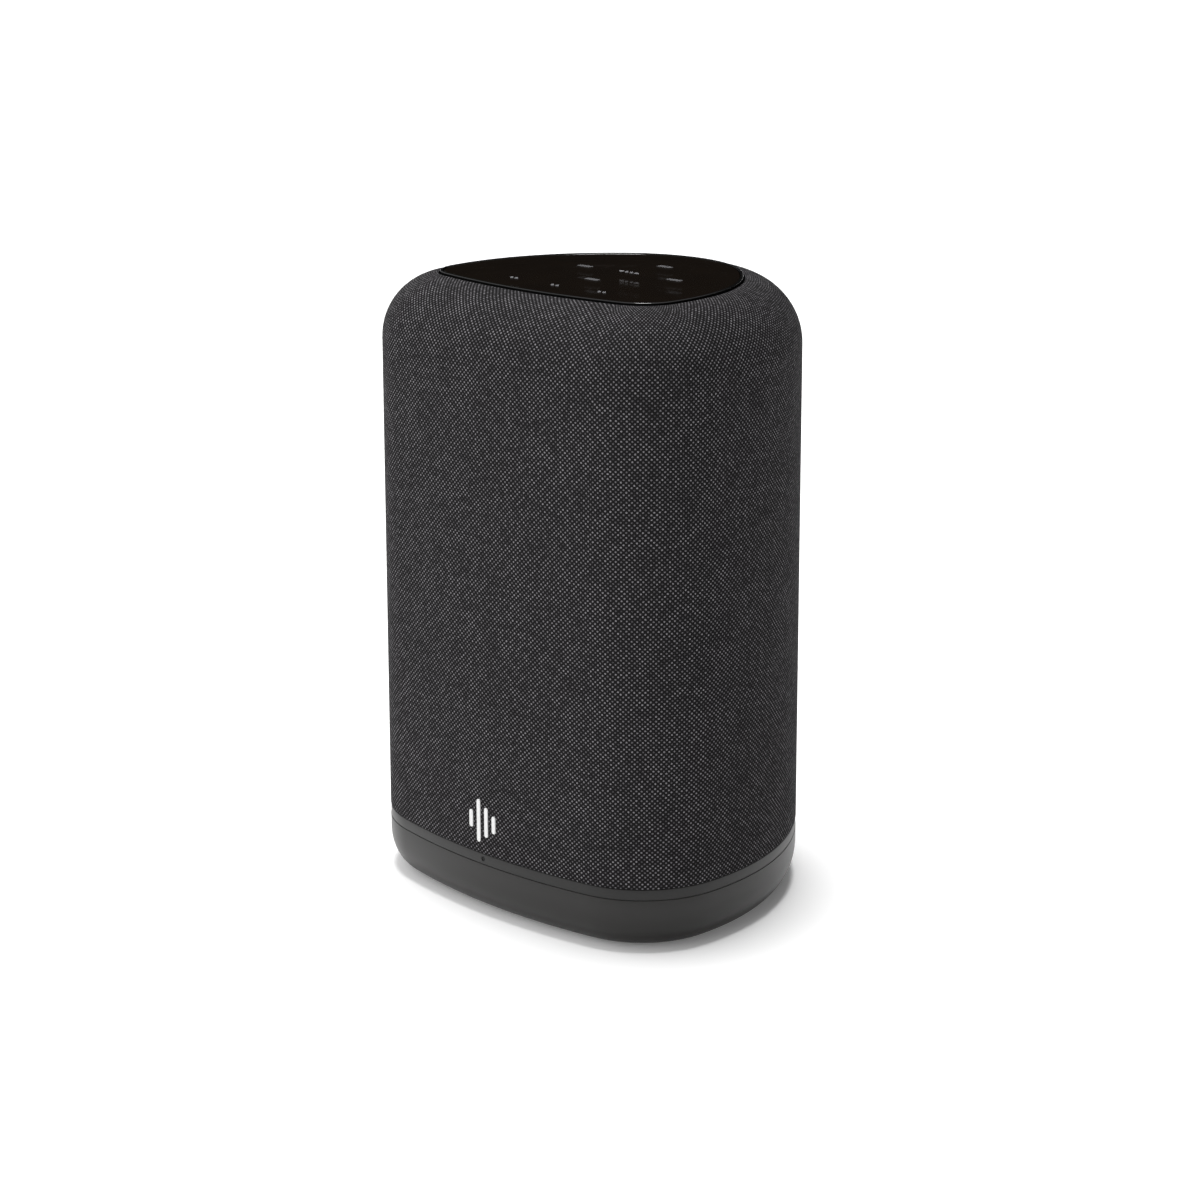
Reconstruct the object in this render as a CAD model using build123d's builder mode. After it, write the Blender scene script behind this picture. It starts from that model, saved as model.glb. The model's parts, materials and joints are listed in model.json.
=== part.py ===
"""Compact wireless smart speaker, modelled as its separate pieces in millimetres.

Front faces -Y, +Z is up, and the origin is under the middle of the body, on the surface it stands on.
"""

import os
from math import asin, cos, degrees, hypot, radians, sin

from build123d import *

# ---- driving dimensions -------------------------------------------------------------------------

BODY_WIDTH = 125.0
BODY_DEPTH = 111.0
BODY_HEIGHT = 183.0

# The footprint is a rounded trapezium of tangent arcs: a gently bulged front, two rounded front
# corners, sides that turn in towards the back, and a rounder, narrower back.
FRONT_RADIUS = 190.0
FRONT_TURN = 11.6  # degrees from straight ahead at which the front meets its corner
SIDE_RADIUS = 78.0
CORNER_TURN = 84.0  # degrees from straight ahead at which the corner meets the side
DRAFT = 0.255  # degrees the walls lean inwards

PAD_TOP = 1.6
PAN_BOTTOM = 1.0
PAN_FLOOR = 3.6
PAN_TOP = 16.0
PAN_WALL = 2.4
PAN_ROUND = 10.4
RING_BOTTOM = 16.3
RING_TOP = 19.35
FABRIC_TOP = 182.6
SHOULDER = 19.0
FABRIC_THICK = 1.0
GRILLE_OUT = 1.1  # inset of the grille frame's outer face
GRILLE_IN = 3.0  # inset of its inner face
PANEL_FRAME_INSET = 17.9
PANEL_INSET = 18.75
PANEL_BOTTOM = 181.0
PANEL_TOP = 182.8

CABINET_INSET = 5.0
CABINET_WALL = 3.0
CABINET_BOTTOM = 20.0
CABINET_TOP = 162.0
BAFFLE_FRONT = -39.0
BAFFLE_BACK = -33.0
SPLIT_Y = -20.0
GASKET = 0.6
BAY_WALL_Y = 18.0  # outer face of the wall in front of the electronics bay
BAY_TOP = 70.0

WOOFER_Z = 72.0
TWEETER_Z = 140.0
PORT_Z = 125.0

BOARD_FRONT = 24.4
BOARD_BACK = 26.0
TUB_FLOOR_IN = 40.0
TUB_FLOOR = 42.0
PORT_FACE = 42.4  # plane of the connectors' mouths
TUB_WIDTH = 62.0
TUB_HEIGHT = 40.0
TUB_Z = 43.5
TUB_WALL = 2.0

ETHERNET_XZ = (17.0, 50.0)
USB_XZ = (-2.5, 50.0)
BUTTON_XZ = (-20.0, 50.0)
AUDIO_XZ = (17.0, 34.0)
POWER_XZ = (-10.0, 34.0)

POST_XY = [(-38, -26), (38, -26), (-38, 6), (38, 6)]
POWER_BOARD_POSTS = [(-26, 14), (26, 14), (-26, 32), (26, 32)]
MAIN_BOARD_POSTS = [(-34, 30), (34, 30), (-34, 64), (34, 64)]
FRAME_POSTS = [(-26, -12), (26, -12), (-22, 18), (22, 18)]
SHELL_SCREWS = [(x, z) for z in (26, 118, 152) for x in (-46, 46)]
LEAD_HOLE = (-34.0, 50.0)
FIT = 0.05  # all-round clearance of fasteners in their holes


# ---- shared shapes ------------------------------------------------------------------------------


def footprint_arcs():
    """Centre, radius, start and sweep of each arc, worked out from width and depth."""
    turn = radians(FRONT_TURN)
    corner = radians(CORNER_TURN)
    corner_radius = BODY_WIDTH / 2 - FRONT_RADIUS * sin(turn) - SIDE_RADIUS * (1 - sin(corner))
    corner_radius = corner_radius / (sin(corner) - sin(turn))
    front_y = FRONT_RADIUS - BODY_DEPTH / 2
    corner_x = (FRONT_RADIUS - corner_radius) * sin(turn)
    corner_y = front_y - (FRONT_RADIUS - corner_radius) * cos(turn)
    side_x = corner_x + (corner_radius - SIDE_RADIUS) * sin(corner)
    side_y = corner_y - (corner_radius - SIDE_RADIUS) * cos(corner)
    rest = BODY_DEPTH / 2 - side_y - SIDE_RADIUS
    step = -(side_x**2 + rest**2) / (2 * rest)  # from the side arc's centre to the back arc's
    back_radius = SIDE_RADIUS - step
    back_turn = 180 - degrees(asin(-side_x / step))
    back_y = BODY_DEPTH / 2 - back_radius
    return [
        ((0, front_y), FRONT_RADIUS, -90 - FRONT_TURN, 2 * FRONT_TURN),
        ((corner_x, corner_y), corner_radius, FRONT_TURN - 90, CORNER_TURN - FRONT_TURN),
        ((side_x, side_y), SIDE_RADIUS, CORNER_TURN - 90, back_turn - CORNER_TURN),
        ((0, back_y), back_radius, back_turn - 90, 2 * (180 - back_turn)),
        ((-side_x, side_y), SIDE_RADIUS, 270 - back_turn, back_turn - CORNER_TURN),
        ((-corner_x, corner_y), corner_radius, 270 - CORNER_TURN, CORNER_TURN - FRONT_TURN),
    ]


def footprint(inset=0.0):
    """The body's outline as a face, drawn in by inset."""
    with BuildSketch() as outline:
        with BuildLine():
            for centre, radius, start, sweep in footprint_arcs():
                CenterArc(centre, radius - inset, start, sweep)
        make_face()
    return outline.sketch


def body_blank(inset, bottom, top, shoulder):
    """Block with the body's leaning walls and a rounded upper edge, drawn in by inset."""
    with BuildPart() as blank:
        with BuildSketch(Plane.XY.offset(bottom)):
            add(footprint(inset))
        extrude(amount=top - bottom, taper=DRAFT)
        fillet(blank.edges().group_by(Axis.Z)[-1], radius=shoulder)
    return blank.part


def straight_blank(inset, bottom, top):
    """Block with the body's outline and upright walls, drawn in by inset."""
    with BuildPart() as blank:
        with BuildSketch(Plane.XY.offset(bottom)):
            add(footprint(inset))
        extrude(amount=top - bottom)
    return blank.part


def facing_front(y):
    """Drawing plane at depth y: right is +X, up is +Z, and extruding goes towards the front."""
    return Plane.XZ.offset(-y)


def turning_plane(height):
    """Drawing plane for a half section: right is the radius, up is the depth."""
    return Plane.XY.offset(height)


def driver_axis(height):
    return Axis((0, 0, height), (0, 1, 0))


def section(*points):
    """Closed half section through the given (radius, depth) points."""
    with BuildSketch() as half:
        with BuildLine():
            Polyline(*points, close=True)
        make_face()
    return half.sketch


def tub_outline(grow, corner):
    """Rounded rectangle of the connector recess, grown all round."""
    with BuildSketch() as outline:
        with Locations((0, TUB_Z)):
            RectangleRounded(TUB_WIDTH + 2 * grow, TUB_HEIGHT + 2 * grow, corner)
    return outline.sketch


def depth_block(face_sketch, y_front, y_back):
    """Block that runs from y_front to y_back with the given section."""
    with BuildPart() as block:
        with BuildSketch(facing_front(y_back)):
            add(face_sketch)
        extrude(amount=y_back - y_front)
    return block.part


pieces = {}

# ---- base ---------------------------------------------------------------------------------------

INSERT_RADIUS = 4.5
INSERT_BORE = 2.55
INSERT_LENGTH = 11.0
PAD_INSET = 14.0

with BuildPart() as foot_pad:
    with BuildSketch():
        add(footprint(PAD_INSET))
        Circle(6.0, mode=Mode.SUBTRACT)
        with Locations(*POST_XY):
            Circle(3.4, mode=Mode.SUBTRACT)
    extrude(amount=PAD_TOP)
pieces["foot_pad"] = foot_pad

with BuildPart() as base_pan:
    with BuildSketch(Plane.XY.offset(PAN_BOTTOM)):
        add(footprint())
    extrude(amount=PAN_TOP - PAN_BOTTOM)
    fillet(base_pan.edges().group_by(Axis.Z)[0], radius=PAN_ROUND)
    with BuildPart(mode=Mode.PRIVATE) as pan_hollow:
        with BuildSketch(Plane.XY.offset(PAN_FLOOR)):
            add(footprint(PAN_WALL))
        extrude(amount=PAN_TOP - PAN_FLOOR + 1)
        fillet(pan_hollow.edges().group_by(Axis.Z)[0], radius=PAN_ROUND - PAN_WALL)
    add(pan_hollow.part, mode=Mode.SUBTRACT)
    with BuildSketch(Plane.XY.offset(PAN_BOTTOM)):
        add(footprint(PAD_INSET - 0.1))
    extrude(amount=PAD_TOP - PAN_BOTTOM, mode=Mode.SUBTRACT)
    with BuildSketch(Plane.XY.offset(PAN_FLOOR - 0.5)):
        with Locations(*POST_XY):
            Circle(4.0)
    extrude(amount=CABINET_BOTTOM - PAN_FLOOR + 0.5)
    with BuildSketch(Plane.XY.offset(PAN_FLOOR - 0.5)):
        Circle(6.5)
    extrude(amount=11.9)
    with BuildSketch(Plane.XY.offset(PAN_FLOOR - 0.5)):
        with Locations(*POWER_BOARD_POSTS):
            Circle(2.5)
    extrude(amount=4.9)
    with Locations((0, 0, PAD_TOP + INSERT_LENGTH / 2)):
        Cylinder(INSERT_RADIUS, INSERT_LENGTH, mode=Mode.SUBTRACT)
    with BuildSketch(Plane.XY.offset(PAD_TOP)):
        with Locations(*POST_XY):
            Circle(3.0)
    extrude(amount=2.3, mode=Mode.SUBTRACT)
    with BuildSketch(Plane.XY.offset(PAD_TOP)):
        with Locations(*POST_XY):
            Circle(1.5 + FIT)
    extrude(amount=CABINET_BOTTOM - PAD_TOP, mode=Mode.SUBTRACT)
    with BuildSketch(Plane.XY.offset(4.2)):
        with Locations(*POWER_BOARD_POSTS):
            Circle(1.2 + FIT)
    extrude(amount=5, mode=Mode.SUBTRACT)
pieces["base_pan"] = base_pan

with BuildPart() as base_ring:
    with BuildSketch(Plane.XY.offset(RING_BOTTOM)):
        add(footprint(0.25))
        add(footprint(4.2), mode=Mode.SUBTRACT)
    extrude(amount=RING_TOP - RING_BOTTOM)
    with BuildSketch(Plane.XY.offset(12.5)):
        add(footprint(2.6))
        add(footprint(4.2), mode=Mode.SUBTRACT)
    extrude(amount=RING_BOTTOM - 12.5)
    with BuildSketch(facing_front(-50)):
        with Locations((0, 17.7)):
            Circle(0.75)
    extrude(amount=10, mode=Mode.SUBTRACT)
pieces["base_ring"] = base_ring

with BuildPart() as status_lens:
    with BuildSketch(facing_front(-51.35)):
        with Locations((0, 17.7)):
            Circle(0.7)
    extrude(amount=3.9)
pieces["status_lens"] = status_lens

with BuildPart() as thread_insert:
    with Locations((0, 0, PAD_TOP + INSERT_LENGTH / 2)):
        Cylinder(INSERT_RADIUS, INSERT_LENGTH)
        Cylinder(INSERT_BORE, INSERT_LENGTH, mode=Mode.SUBTRACT)
pieces["thread_insert"] = thread_insert

with BuildPart() as base_screws:
    with BuildSketch(Plane.XY.offset(1.9)):
        with Locations(*POST_XY):
            Circle(2.8)
    extrude(amount=2.0)
    with BuildSketch(Plane.XY.offset(3.9)):
        with Locations(*POST_XY):
            Circle(1.5)
    extrude(amount=24.0)
    with BuildSketch(Plane.XY.offset(1.9)):
        with Locations(*POST_XY):
            RegularPolygon(1.4, 6)
    extrude(amount=1.2, mode=Mode.SUBTRACT)
pieces["base_screws"] = base_screws

# ---- grille frame, fabric and badge ---------------------------------------------------------------

with BuildPart() as grille_frame:
    add(body_blank(GRILLE_OUT, RING_TOP, FABRIC_TOP - GRILLE_OUT, SHOULDER - GRILLE_OUT))
    add(
        body_blank(GRILLE_IN, RING_TOP - 1, FABRIC_TOP - GRILLE_IN, SHOULDER - GRILLE_IN),
        mode=Mode.SUBTRACT,
    )
    add(straight_blank(PANEL_FRAME_INSET - 0.5, 160, BODY_HEIGHT), mode=Mode.SUBTRACT)
    add(depth_block(tub_outline(0.2, 6.2), 30, 60), mode=Mode.SUBTRACT)
    with BuildSketch(facing_front(-30)):
        with Locations((0, 88)):
            with GridLocations(9, 27, 9, 5):
                SlotOverall(22, 4.5, rotation=90)
    extrude(amount=40, mode=Mode.SUBTRACT)
    with BuildSketch(facing_front(60)):
        with Locations((0, PORT_Z)):
            with GridLocations(9, 27, 5, 1):
                SlotOverall(22, 4.5, rotation=90)
    extrude(amount=20, mode=Mode.SUBTRACT)
pieces["grille_frame"] = grille_frame

BADGE_HEIGHTS = (4.4, 11.0, 7.6, 4.4)
BADGE_PITCH = 2.6
BADGE_BAR = 1.3
BADGE_Z = 27.3

with BuildPart() as front_badge:
    with BuildSketch(facing_front(-50)):
        for number, height in enumerate(BADGE_HEIGHTS):
            with Locations(((number - 1.5) * BADGE_PITCH, BADGE_Z)):
                SlotOverall(height, BADGE_BAR, rotation=90)
    extrude(amount=10)
    add(body_blank(0, RING_TOP, FABRIC_TOP, SHOULDER), mode=Mode.INTERSECT)
    add(body_blank(0.5, RING_TOP, FABRIC_TOP - 0.5, SHOULDER - 0.5), mode=Mode.SUBTRACT)
pieces["front_badge"] = front_badge

with BuildPart() as fabric_cover:
    add(body_blank(0, RING_TOP, FABRIC_TOP, SHOULDER))
    add(
        body_blank(FABRIC_THICK, RING_TOP - 1, FABRIC_TOP - FABRIC_THICK, SHOULDER - FABRIC_THICK),
        mode=Mode.SUBTRACT,
    )
    add(straight_blank(PANEL_FRAME_INSET - 0.6, 160, BODY_HEIGHT), mode=Mode.SUBTRACT)
    add(depth_block(tub_outline(0.2, 6.2), 30, 60), mode=Mode.SUBTRACT)
    add(front_badge.part, mode=Mode.SUBTRACT)
pieces["fabric_cover"] = fabric_cover

# ---- control panel on top -------------------------------------------------------------------------

PRESET_ROW = [(-17.5, -23.5), (0.0, -24.5), (17.5, -23.5)]
PAD_CENTRE = (0.0, 6.0)
PAD_SPAN = (17.8, 15.3)
TOUCH_BOARD_TOP = 178.6
GUIDE_TOP = 182.15
TWIN_GAP = 1.5
TWIN_RADIUS = 0.55
BLOCK_SIZE = (5.0, 2.0)

twin_places = PRESET_ROW + [PAD_CENTRE]
block_places = [
    (PAD_CENTRE[0] - PAD_SPAN[0], PAD_CENTRE[1]),
    (PAD_CENTRE[0] + PAD_SPAN[0], PAD_CENTRE[1]),
    (PAD_CENTRE[0], PAD_CENTRE[1] - PAD_SPAN[1]),
    (PAD_CENTRE[0], PAD_CENTRE[1] + PAD_SPAN[1]),
]


def twin_lenses(grow=0.0):
    """Pairs of small round light guides over the preset and play keys."""
    with BuildSketch() as lenses:
        with Locations(*twin_places):
            with GridLocations(TWIN_GAP, 1, 2, 1):
                Circle(TWIN_RADIUS + grow)
    return lenses.sketch


def block_lenses(grow=0.0):
    """Bar-shaped light guides over the four direction keys."""
    with BuildSketch() as lenses:
        with Locations(*block_places):
            Rectangle(BLOCK_SIZE[0] + 2 * grow, BLOCK_SIZE[1] + 2 * grow)
    return lenses.sketch


with BuildPart() as panel_frame:
    add(straight_blank(PANEL_FRAME_INSET, 172, BODY_HEIGHT))
    add(straight_blank(PANEL_INSET - 0.05, PANEL_BOTTOM, BODY_HEIGHT + 1), mode=Mode.SUBTRACT)
    add(straight_blank(20.5, 174, PANEL_BOTTOM), mode=Mode.SUBTRACT)
    with BuildSketch(Plane.XY.offset(176.8)):
        add(footprint(15.4))
        add(footprint(PANEL_FRAME_INSET + 0.5), mode=Mode.SUBTRACT)
    extrude(amount=2.0)
    with BuildSketch(Plane.XY.offset(CABINET_TOP)):
        with Locations(*FRAME_POSTS):
            Circle(3.5)
    extrude(amount=12.0)
    with BuildSketch(Plane.XY.offset(173.5)):
        with Locations((-30, 0), (30, 0), (0, -28), (0, 28)):
            Circle(2.5)
    extrude(amount=3.5)
    with BuildSketch(Plane.XY.offset(CABINET_TOP)):
        with Locations(*FRAME_POSTS):
            Circle(1.3 + FIT)
    extrude(amount=14, mode=Mode.SUBTRACT)
    with BuildSketch(Plane.XY.offset(170)):
        with Locations((0, 31)):
            Rectangle(16, 3)
    extrude(amount=5, mode=Mode.SUBTRACT)
pieces["panel_frame"] = panel_frame

with BuildPart() as top_panel:
    add(straight_blank(PANEL_INSET, PANEL_BOTTOM, PANEL_TOP))
    with BuildSketch(Plane.XY.offset(PANEL_BOTTOM)):
        add(twin_lenses(0.15))
        add(block_lenses(0.15))
    extrude(amount=GUIDE_TOP + FIT - PANEL_BOTTOM, mode=Mode.SUBTRACT)
    chamfer(top_panel.edges().group_by(Axis.Z)[-1], length=0.3)
pieces["top_panel"] = top_panel

with BuildPart() as touch_board:
    add(straight_blank(21.0, 177.0, TOUCH_BOARD_TOP))
pieces["touch_board"] = touch_board

with BuildPart() as touch_light_guides:
    with BuildSketch(Plane.XY.offset(TOUCH_BOARD_TOP)):
        add(twin_lenses())
        add(block_lenses())
    extrude(amount=GUIDE_TOP - TOUCH_BOARD_TOP)
pieces["touch_light_guides"] = touch_light_guides

with BuildPart() as panel_screws:
    with BuildSketch(Plane.XY.offset(174)):
        with Locations(*FRAME_POSTS):
            Circle(2.4)
    extrude(amount=1.6)
    with BuildSketch(Plane.XY.offset(152)):
        with Locations(*FRAME_POSTS):
            Circle(1.3)
    extrude(amount=22)
pieces["panel_screws"] = panel_screws

# ---- cabinet --------------------------------------------------------------------------------------

WOOFER_SEAT = BAFFLE_FRONT + 2.0
WOOFER_PCD = 45.2
TWEETER_SEAT = BAFFLE_FRONT + 1.5
TWEETER_PCD = 15.6
PORT_RADIUS = 13.0


def driver_screw_places(pitch_radius, height):
    """Four fastener centres around a driver, clear of the middle lines."""
    reach = pitch_radius * cos(radians(45))
    return [(x, height + z) for x in (-reach, reach) for z in (-reach, reach)]


def cabinet_hollow(y_front, y_back):
    """Air space of the cabinet between two depths, with the bay for the electronics left out."""
    wall = CABINET_INSET + CABINET_WALL
    with BuildPart() as hollow:
        add(straight_blank(wall, CABINET_BOTTOM + CABINET_WALL, CABINET_TOP - CABINET_WALL))
        with Locations((0, (y_front + y_back) / 2, 90)):
            Box(200, y_back - y_front, 200, mode=Mode.INTERSECT)
        with Locations((0, BAY_WALL_Y - CABINET_WALL, CABINET_BOTTOM)):
            Box(
                200,
                100,
                BAY_TOP + CABINET_WALL - CABINET_BOTTOM,
                align=(Align.CENTER, Align.MIN, Align.MIN),
                mode=Mode.SUBTRACT,
            )
        with BuildSketch(Plane.XY.offset(CABINET_BOTTOM)):
            with Locations(*POST_XY):
                Circle(3.6)
        extrude(amount=10, mode=Mode.SUBTRACT)
        with BuildSketch(Plane.XY.offset(150)):
            with Locations(*FRAME_POSTS):
                Circle(4.0)
        extrude(amount=20, mode=Mode.SUBTRACT)
        with BuildSketch(facing_front(-6)):
            for x, z in SHELL_SCREWS:
                with Locations((x, z)):
                    Circle(4.0)
                with Locations((x + (8 if x > 0 else -8), z)):
                    Rectangle(16, 2.4)
        extrude(amount=40, mode=Mode.SUBTRACT)
    return hollow.part


with BuildPart() as cabinet_front:
    add(straight_blank(CABINET_INSET, CABINET_BOTTOM, CABINET_TOP))
    with Locations((0, (BAFFLE_FRONT + SPLIT_Y - GASKET / 2) / 2, 90)):
        Box(200, SPLIT_Y - GASKET / 2 - BAFFLE_FRONT, 200, mode=Mode.INTERSECT)
    add(cabinet_hollow(BAFFLE_BACK, 60), mode=Mode.SUBTRACT)
    with BuildSketch(facing_front(WOOFER_SEAT)):
        with Locations((0, WOOFER_Z)):
            Circle(48.0)
    extrude(amount=10, mode=Mode.SUBTRACT)
    with BuildSketch(facing_front(0)):
        with Locations((0, WOOFER_Z)):
            Circle(43.0)
        with Locations((0, TWEETER_Z)):
            Circle(14.4)
    extrude(amount=60, mode=Mode.SUBTRACT)
    with BuildSketch(facing_front(TWEETER_SEAT)):
        with Locations((0, TWEETER_Z)):
            Circle(18.2)
    extrude(amount=10, mode=Mode.SUBTRACT)
    with BuildSketch(facing_front(0)):
        with Locations(*SHELL_SCREWS):
            Circle(1.5 + FIT)
        with Locations(*driver_screw_places(WOOFER_PCD, WOOFER_Z)):
            Circle(1.25 + FIT)
        with Locations(*driver_screw_places(TWEETER_PCD, TWEETER_Z)):
            Circle(0.9 + FIT)
    extrude(amount=60, mode=Mode.SUBTRACT)
    with BuildSketch(Plane.XY):
        with Locations(*POST_XY):
            Circle(1.5 + FIT)
    extrude(amount=28.5, mode=Mode.SUBTRACT)
pieces["cabinet_front"] = cabinet_front

with BuildPart() as cabinet_rear:
    add(straight_blank(CABINET_INSET, CABINET_BOTTOM, CABINET_TOP))
    with Locations((0, SPLIT_Y + GASKET / 2, 90)):
        Box(200, 200, 200, align=(Align.CENTER, Align.MIN, Align.CENTER), mode=Mode.INTERSECT)
    add(cabinet_hollow(-60, 60), mode=Mode.SUBTRACT)
    with Locations((0, BAY_WALL_Y, CABINET_BOTTOM - 5)):
        Box(
            200,
            100,
            BAY_TOP - CABINET_BOTTOM + 5,
            align=(Align.CENTER, Align.MIN, Align.MIN),
            mode=Mode.SUBTRACT,
        )
    with BuildSketch(facing_front(BOARD_FRONT)):
        with Locations(*MAIN_BOARD_POSTS):
            Circle(3.0)
    extrude(amount=BOARD_FRONT - BAY_WALL_Y)
    with BuildSketch(facing_front(46)):
        with Locations((0, PORT_Z)):
            Circle(PORT_RADIUS + 3)
    extrude(amount=10)
    with BuildSketch(facing_front(60)):
        with Locations((0, PORT_Z)):
            Circle(PORT_RADIUS + FIT)
    extrude(amount=40, mode=Mode.SUBTRACT)
    with BuildSketch(facing_front(BOARD_FRONT)):
        with Locations(*MAIN_BOARD_POSTS):
            Circle(1.2 + FIT)
    extrude(amount=6, mode=Mode.SUBTRACT)
    with BuildSketch(facing_front(BAY_WALL_Y)):
        with Locations(LEAD_HOLE):
            Circle(4.0)
    extrude(amount=4, mode=Mode.SUBTRACT)
    with BuildSketch(facing_front(-8)):
        with Locations(*SHELL_SCREWS):
            Circle(1.5 + FIT)
    extrude(amount=20, mode=Mode.SUBTRACT)
    with BuildSketch(Plane.XY):
        with Locations(*POST_XY):
            Circle(1.5 + FIT)
    extrude(amount=28.5, mode=Mode.SUBTRACT)
    with BuildSketch(Plane.XY.offset(151)):
        with Locations(*FRAME_POSTS):
            Circle(1.3 + FIT)
    extrude(amount=20, mode=Mode.SUBTRACT)
pieces["cabinet_rear"] = cabinet_rear

with BuildPart() as cabinet_gasket:
    add(straight_blank(CABINET_INSET + 0.3, CABINET_BOTTOM + 0.3, CABINET_TOP - 0.3))
    add(
        straight_blank(
            CABINET_INSET + CABINET_WALL - 0.3,
            CABINET_BOTTOM + CABINET_WALL - 0.3,
            CABINET_TOP - CABINET_WALL + 0.3,
        ),
        mode=Mode.SUBTRACT,
    )
    with Locations((0, SPLIT_Y, 90)):
        Box(200, GASKET, 200, mode=Mode.INTERSECT)
pieces["cabinet_gasket"] = cabinet_gasket

with BuildPart() as cabinet_screws:
    with BuildSketch(facing_front(BAFFLE_FRONT)):
        with Locations(*SHELL_SCREWS):
            Circle(2.6)
    extrude(amount=2.0)
    with BuildSketch(facing_front(-8.5)):
        with Locations(*SHELL_SCREWS):
            Circle(1.5)
    extrude(amount=-8.5 - BAFFLE_FRONT)
pieces["cabinet_screws"] = cabinet_screws

with BuildPart() as reflex_port:
    with BuildSketch(facing_front(52)):
        with Locations((0, PORT_Z)):
            Circle(PORT_RADIUS)
            Circle(PORT_RADIUS - 1.5, mode=Mode.SUBTRACT)
    extrude(amount=46)
    add(straight_blank(CABINET_INSET + 0.2, 100, 150), mode=Mode.INTERSECT)
pieces["reflex_port"] = reflex_port

# ---- woofer ---------------------------------------------------------------------------------------

FLANGE_BACK = WOOFER_SEAT - 0.5
FLANGE_FRONT = FLANGE_BACK - 3.0
FLANGE_RADIUS = 47.5
BASKET_MOUTH = 40.8
CONE_EDGE = 33.4
COIL_IN = 12.1
COIL_OUT = 12.9

with BuildPart() as woofer_gasket:
    with BuildSketch(turning_plane(WOOFER_Z)):
        add(
            section(
                (43.2, FLANGE_BACK),
                (FLANGE_RADIUS, FLANGE_BACK),
                (FLANGE_RADIUS, WOOFER_SEAT),
                (43.2, WOOFER_SEAT),
            )
        )
    revolve(axis=driver_axis(WOOFER_Z))
    with BuildSketch(facing_front(-30)):
        with Locations(*driver_screw_places(WOOFER_PCD, WOOFER_Z)):
            Circle(1.5)
    extrude(amount=10, mode=Mode.SUBTRACT)
pieces["woofer_gasket"] = woofer_gasket

with BuildPart() as woofer_frame:
    with BuildSketch(turning_plane(WOOFER_Z)):
        add(
            section(
                (BASKET_MOUTH, FLANGE_FRONT),
                (FLANGE_RADIUS, FLANGE_FRONT),
                (FLANGE_RADIUS, FLANGE_BACK),
                (42.6, FLANGE_BACK),
                (42.6, -36.0),
                (33.0, -18.5),
                (33.0, -15.5),
                (13.6, -15.5),
                (13.6, -17.0),
                (30.5, -17.0),
                (31.2, -18.9),
                (BASKET_MOUTH, -36.4),
            )
        )
    revolve(axis=driver_axis(WOOFER_Z))
    with BuildSketch(facing_front(-18.6)):
        with Locations((0, WOOFER_Z)):
            with PolarLocations(34.5, 6, start_angle=0):
                Rectangle(17, 22)
    extrude(amount=15.5, mode=Mode.SUBTRACT)
    with BuildSketch(facing_front(-30)):
        with Locations(*driver_screw_places(WOOFER_PCD, WOOFER_Z)):
            Circle(1.25 + FIT)
    extrude(amount=20, mode=Mode.SUBTRACT)
pieces["woofer_frame"] = woofer_frame

with BuildPart() as woofer_top_plate:
    with BuildSketch(turning_plane(WOOFER_Z)):
        add(section((13.6, -15.5), (28.0, -15.5), (28.0, -11.5), (13.6, -11.5)))
    revolve(axis=driver_axis(WOOFER_Z))
pieces["woofer_top_plate"] = woofer_top_plate

with BuildPart() as woofer_magnet:
    with BuildSketch(turning_plane(WOOFER_Z)):
        add(section((16.5, -11.5), (30.0, -11.5), (30.0, 2.5), (16.5, 2.5)))
    revolve(axis=driver_axis(WOOFER_Z))
pieces["woofer_magnet"] = woofer_magnet

with BuildPart() as woofer_pole_plate:
    with BuildSketch(turning_plane(WOOFER_Z)):
        add(section((0, -16.0), (11.5, -16.0), (11.5, 2.5), (28.0, 2.5), (28.0, 7.5), (0, 7.5)))
    revolve(axis=driver_axis(WOOFER_Z))
pieces["woofer_pole_plate"] = woofer_pole_plate

with BuildPart() as woofer_voice_coil:
    with BuildSketch(turning_plane(WOOFER_Z)):
        add(
            section(
                (COIL_IN, -23.6),
                (COIL_IN + 0.3, -23.6),
                (COIL_IN + 0.3, -17.5),
                (COIL_OUT, -17.5),
                (COIL_OUT, -7.5),
                (COIL_IN, -7.5),
            )
        )
    revolve(axis=driver_axis(WOOFER_Z))
pieces["woofer_voice_coil"] = woofer_voice_coil

with BuildPart() as woofer_cone:
    with BuildSketch(turning_plane(WOOFER_Z)):
        with BuildLine():
            rear_line = ThreePointArc((12.45, -22.8), (22.0, -32.4), (CONE_EDGE, -40.2))
            front_line = ThreePointArc((12.45, -24.0), (22.0, -33.4), (CONE_EDGE, -41.1))
            Line(rear_line @ 0, front_line @ 0)
            Line(rear_line @ 1, front_line @ 1)
        make_face()
    revolve(axis=driver_axis(WOOFER_Z))
pieces["woofer_cone"] = woofer_cone

with BuildPart() as woofer_dust_cap:
    with BuildSketch(turning_plane(WOOFER_Z)):
        with BuildLine():
            outer = ThreePointArc((0, -34.2), (8.0, -32.4), (15.2, -27.4))
            inner = ThreePointArc((0, -33.4), (7.7, -31.7), (14.4, -26.9))
            Line(outer @ 0, inner @ 0)
            Line(outer @ 1, inner @ 1)
        make_face()
    revolve(axis=driver_axis(WOOFER_Z))
    add(woofer_cone.part, mode=Mode.SUBTRACT)
pieces["woofer_dust_cap"] = woofer_dust_cap

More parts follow.
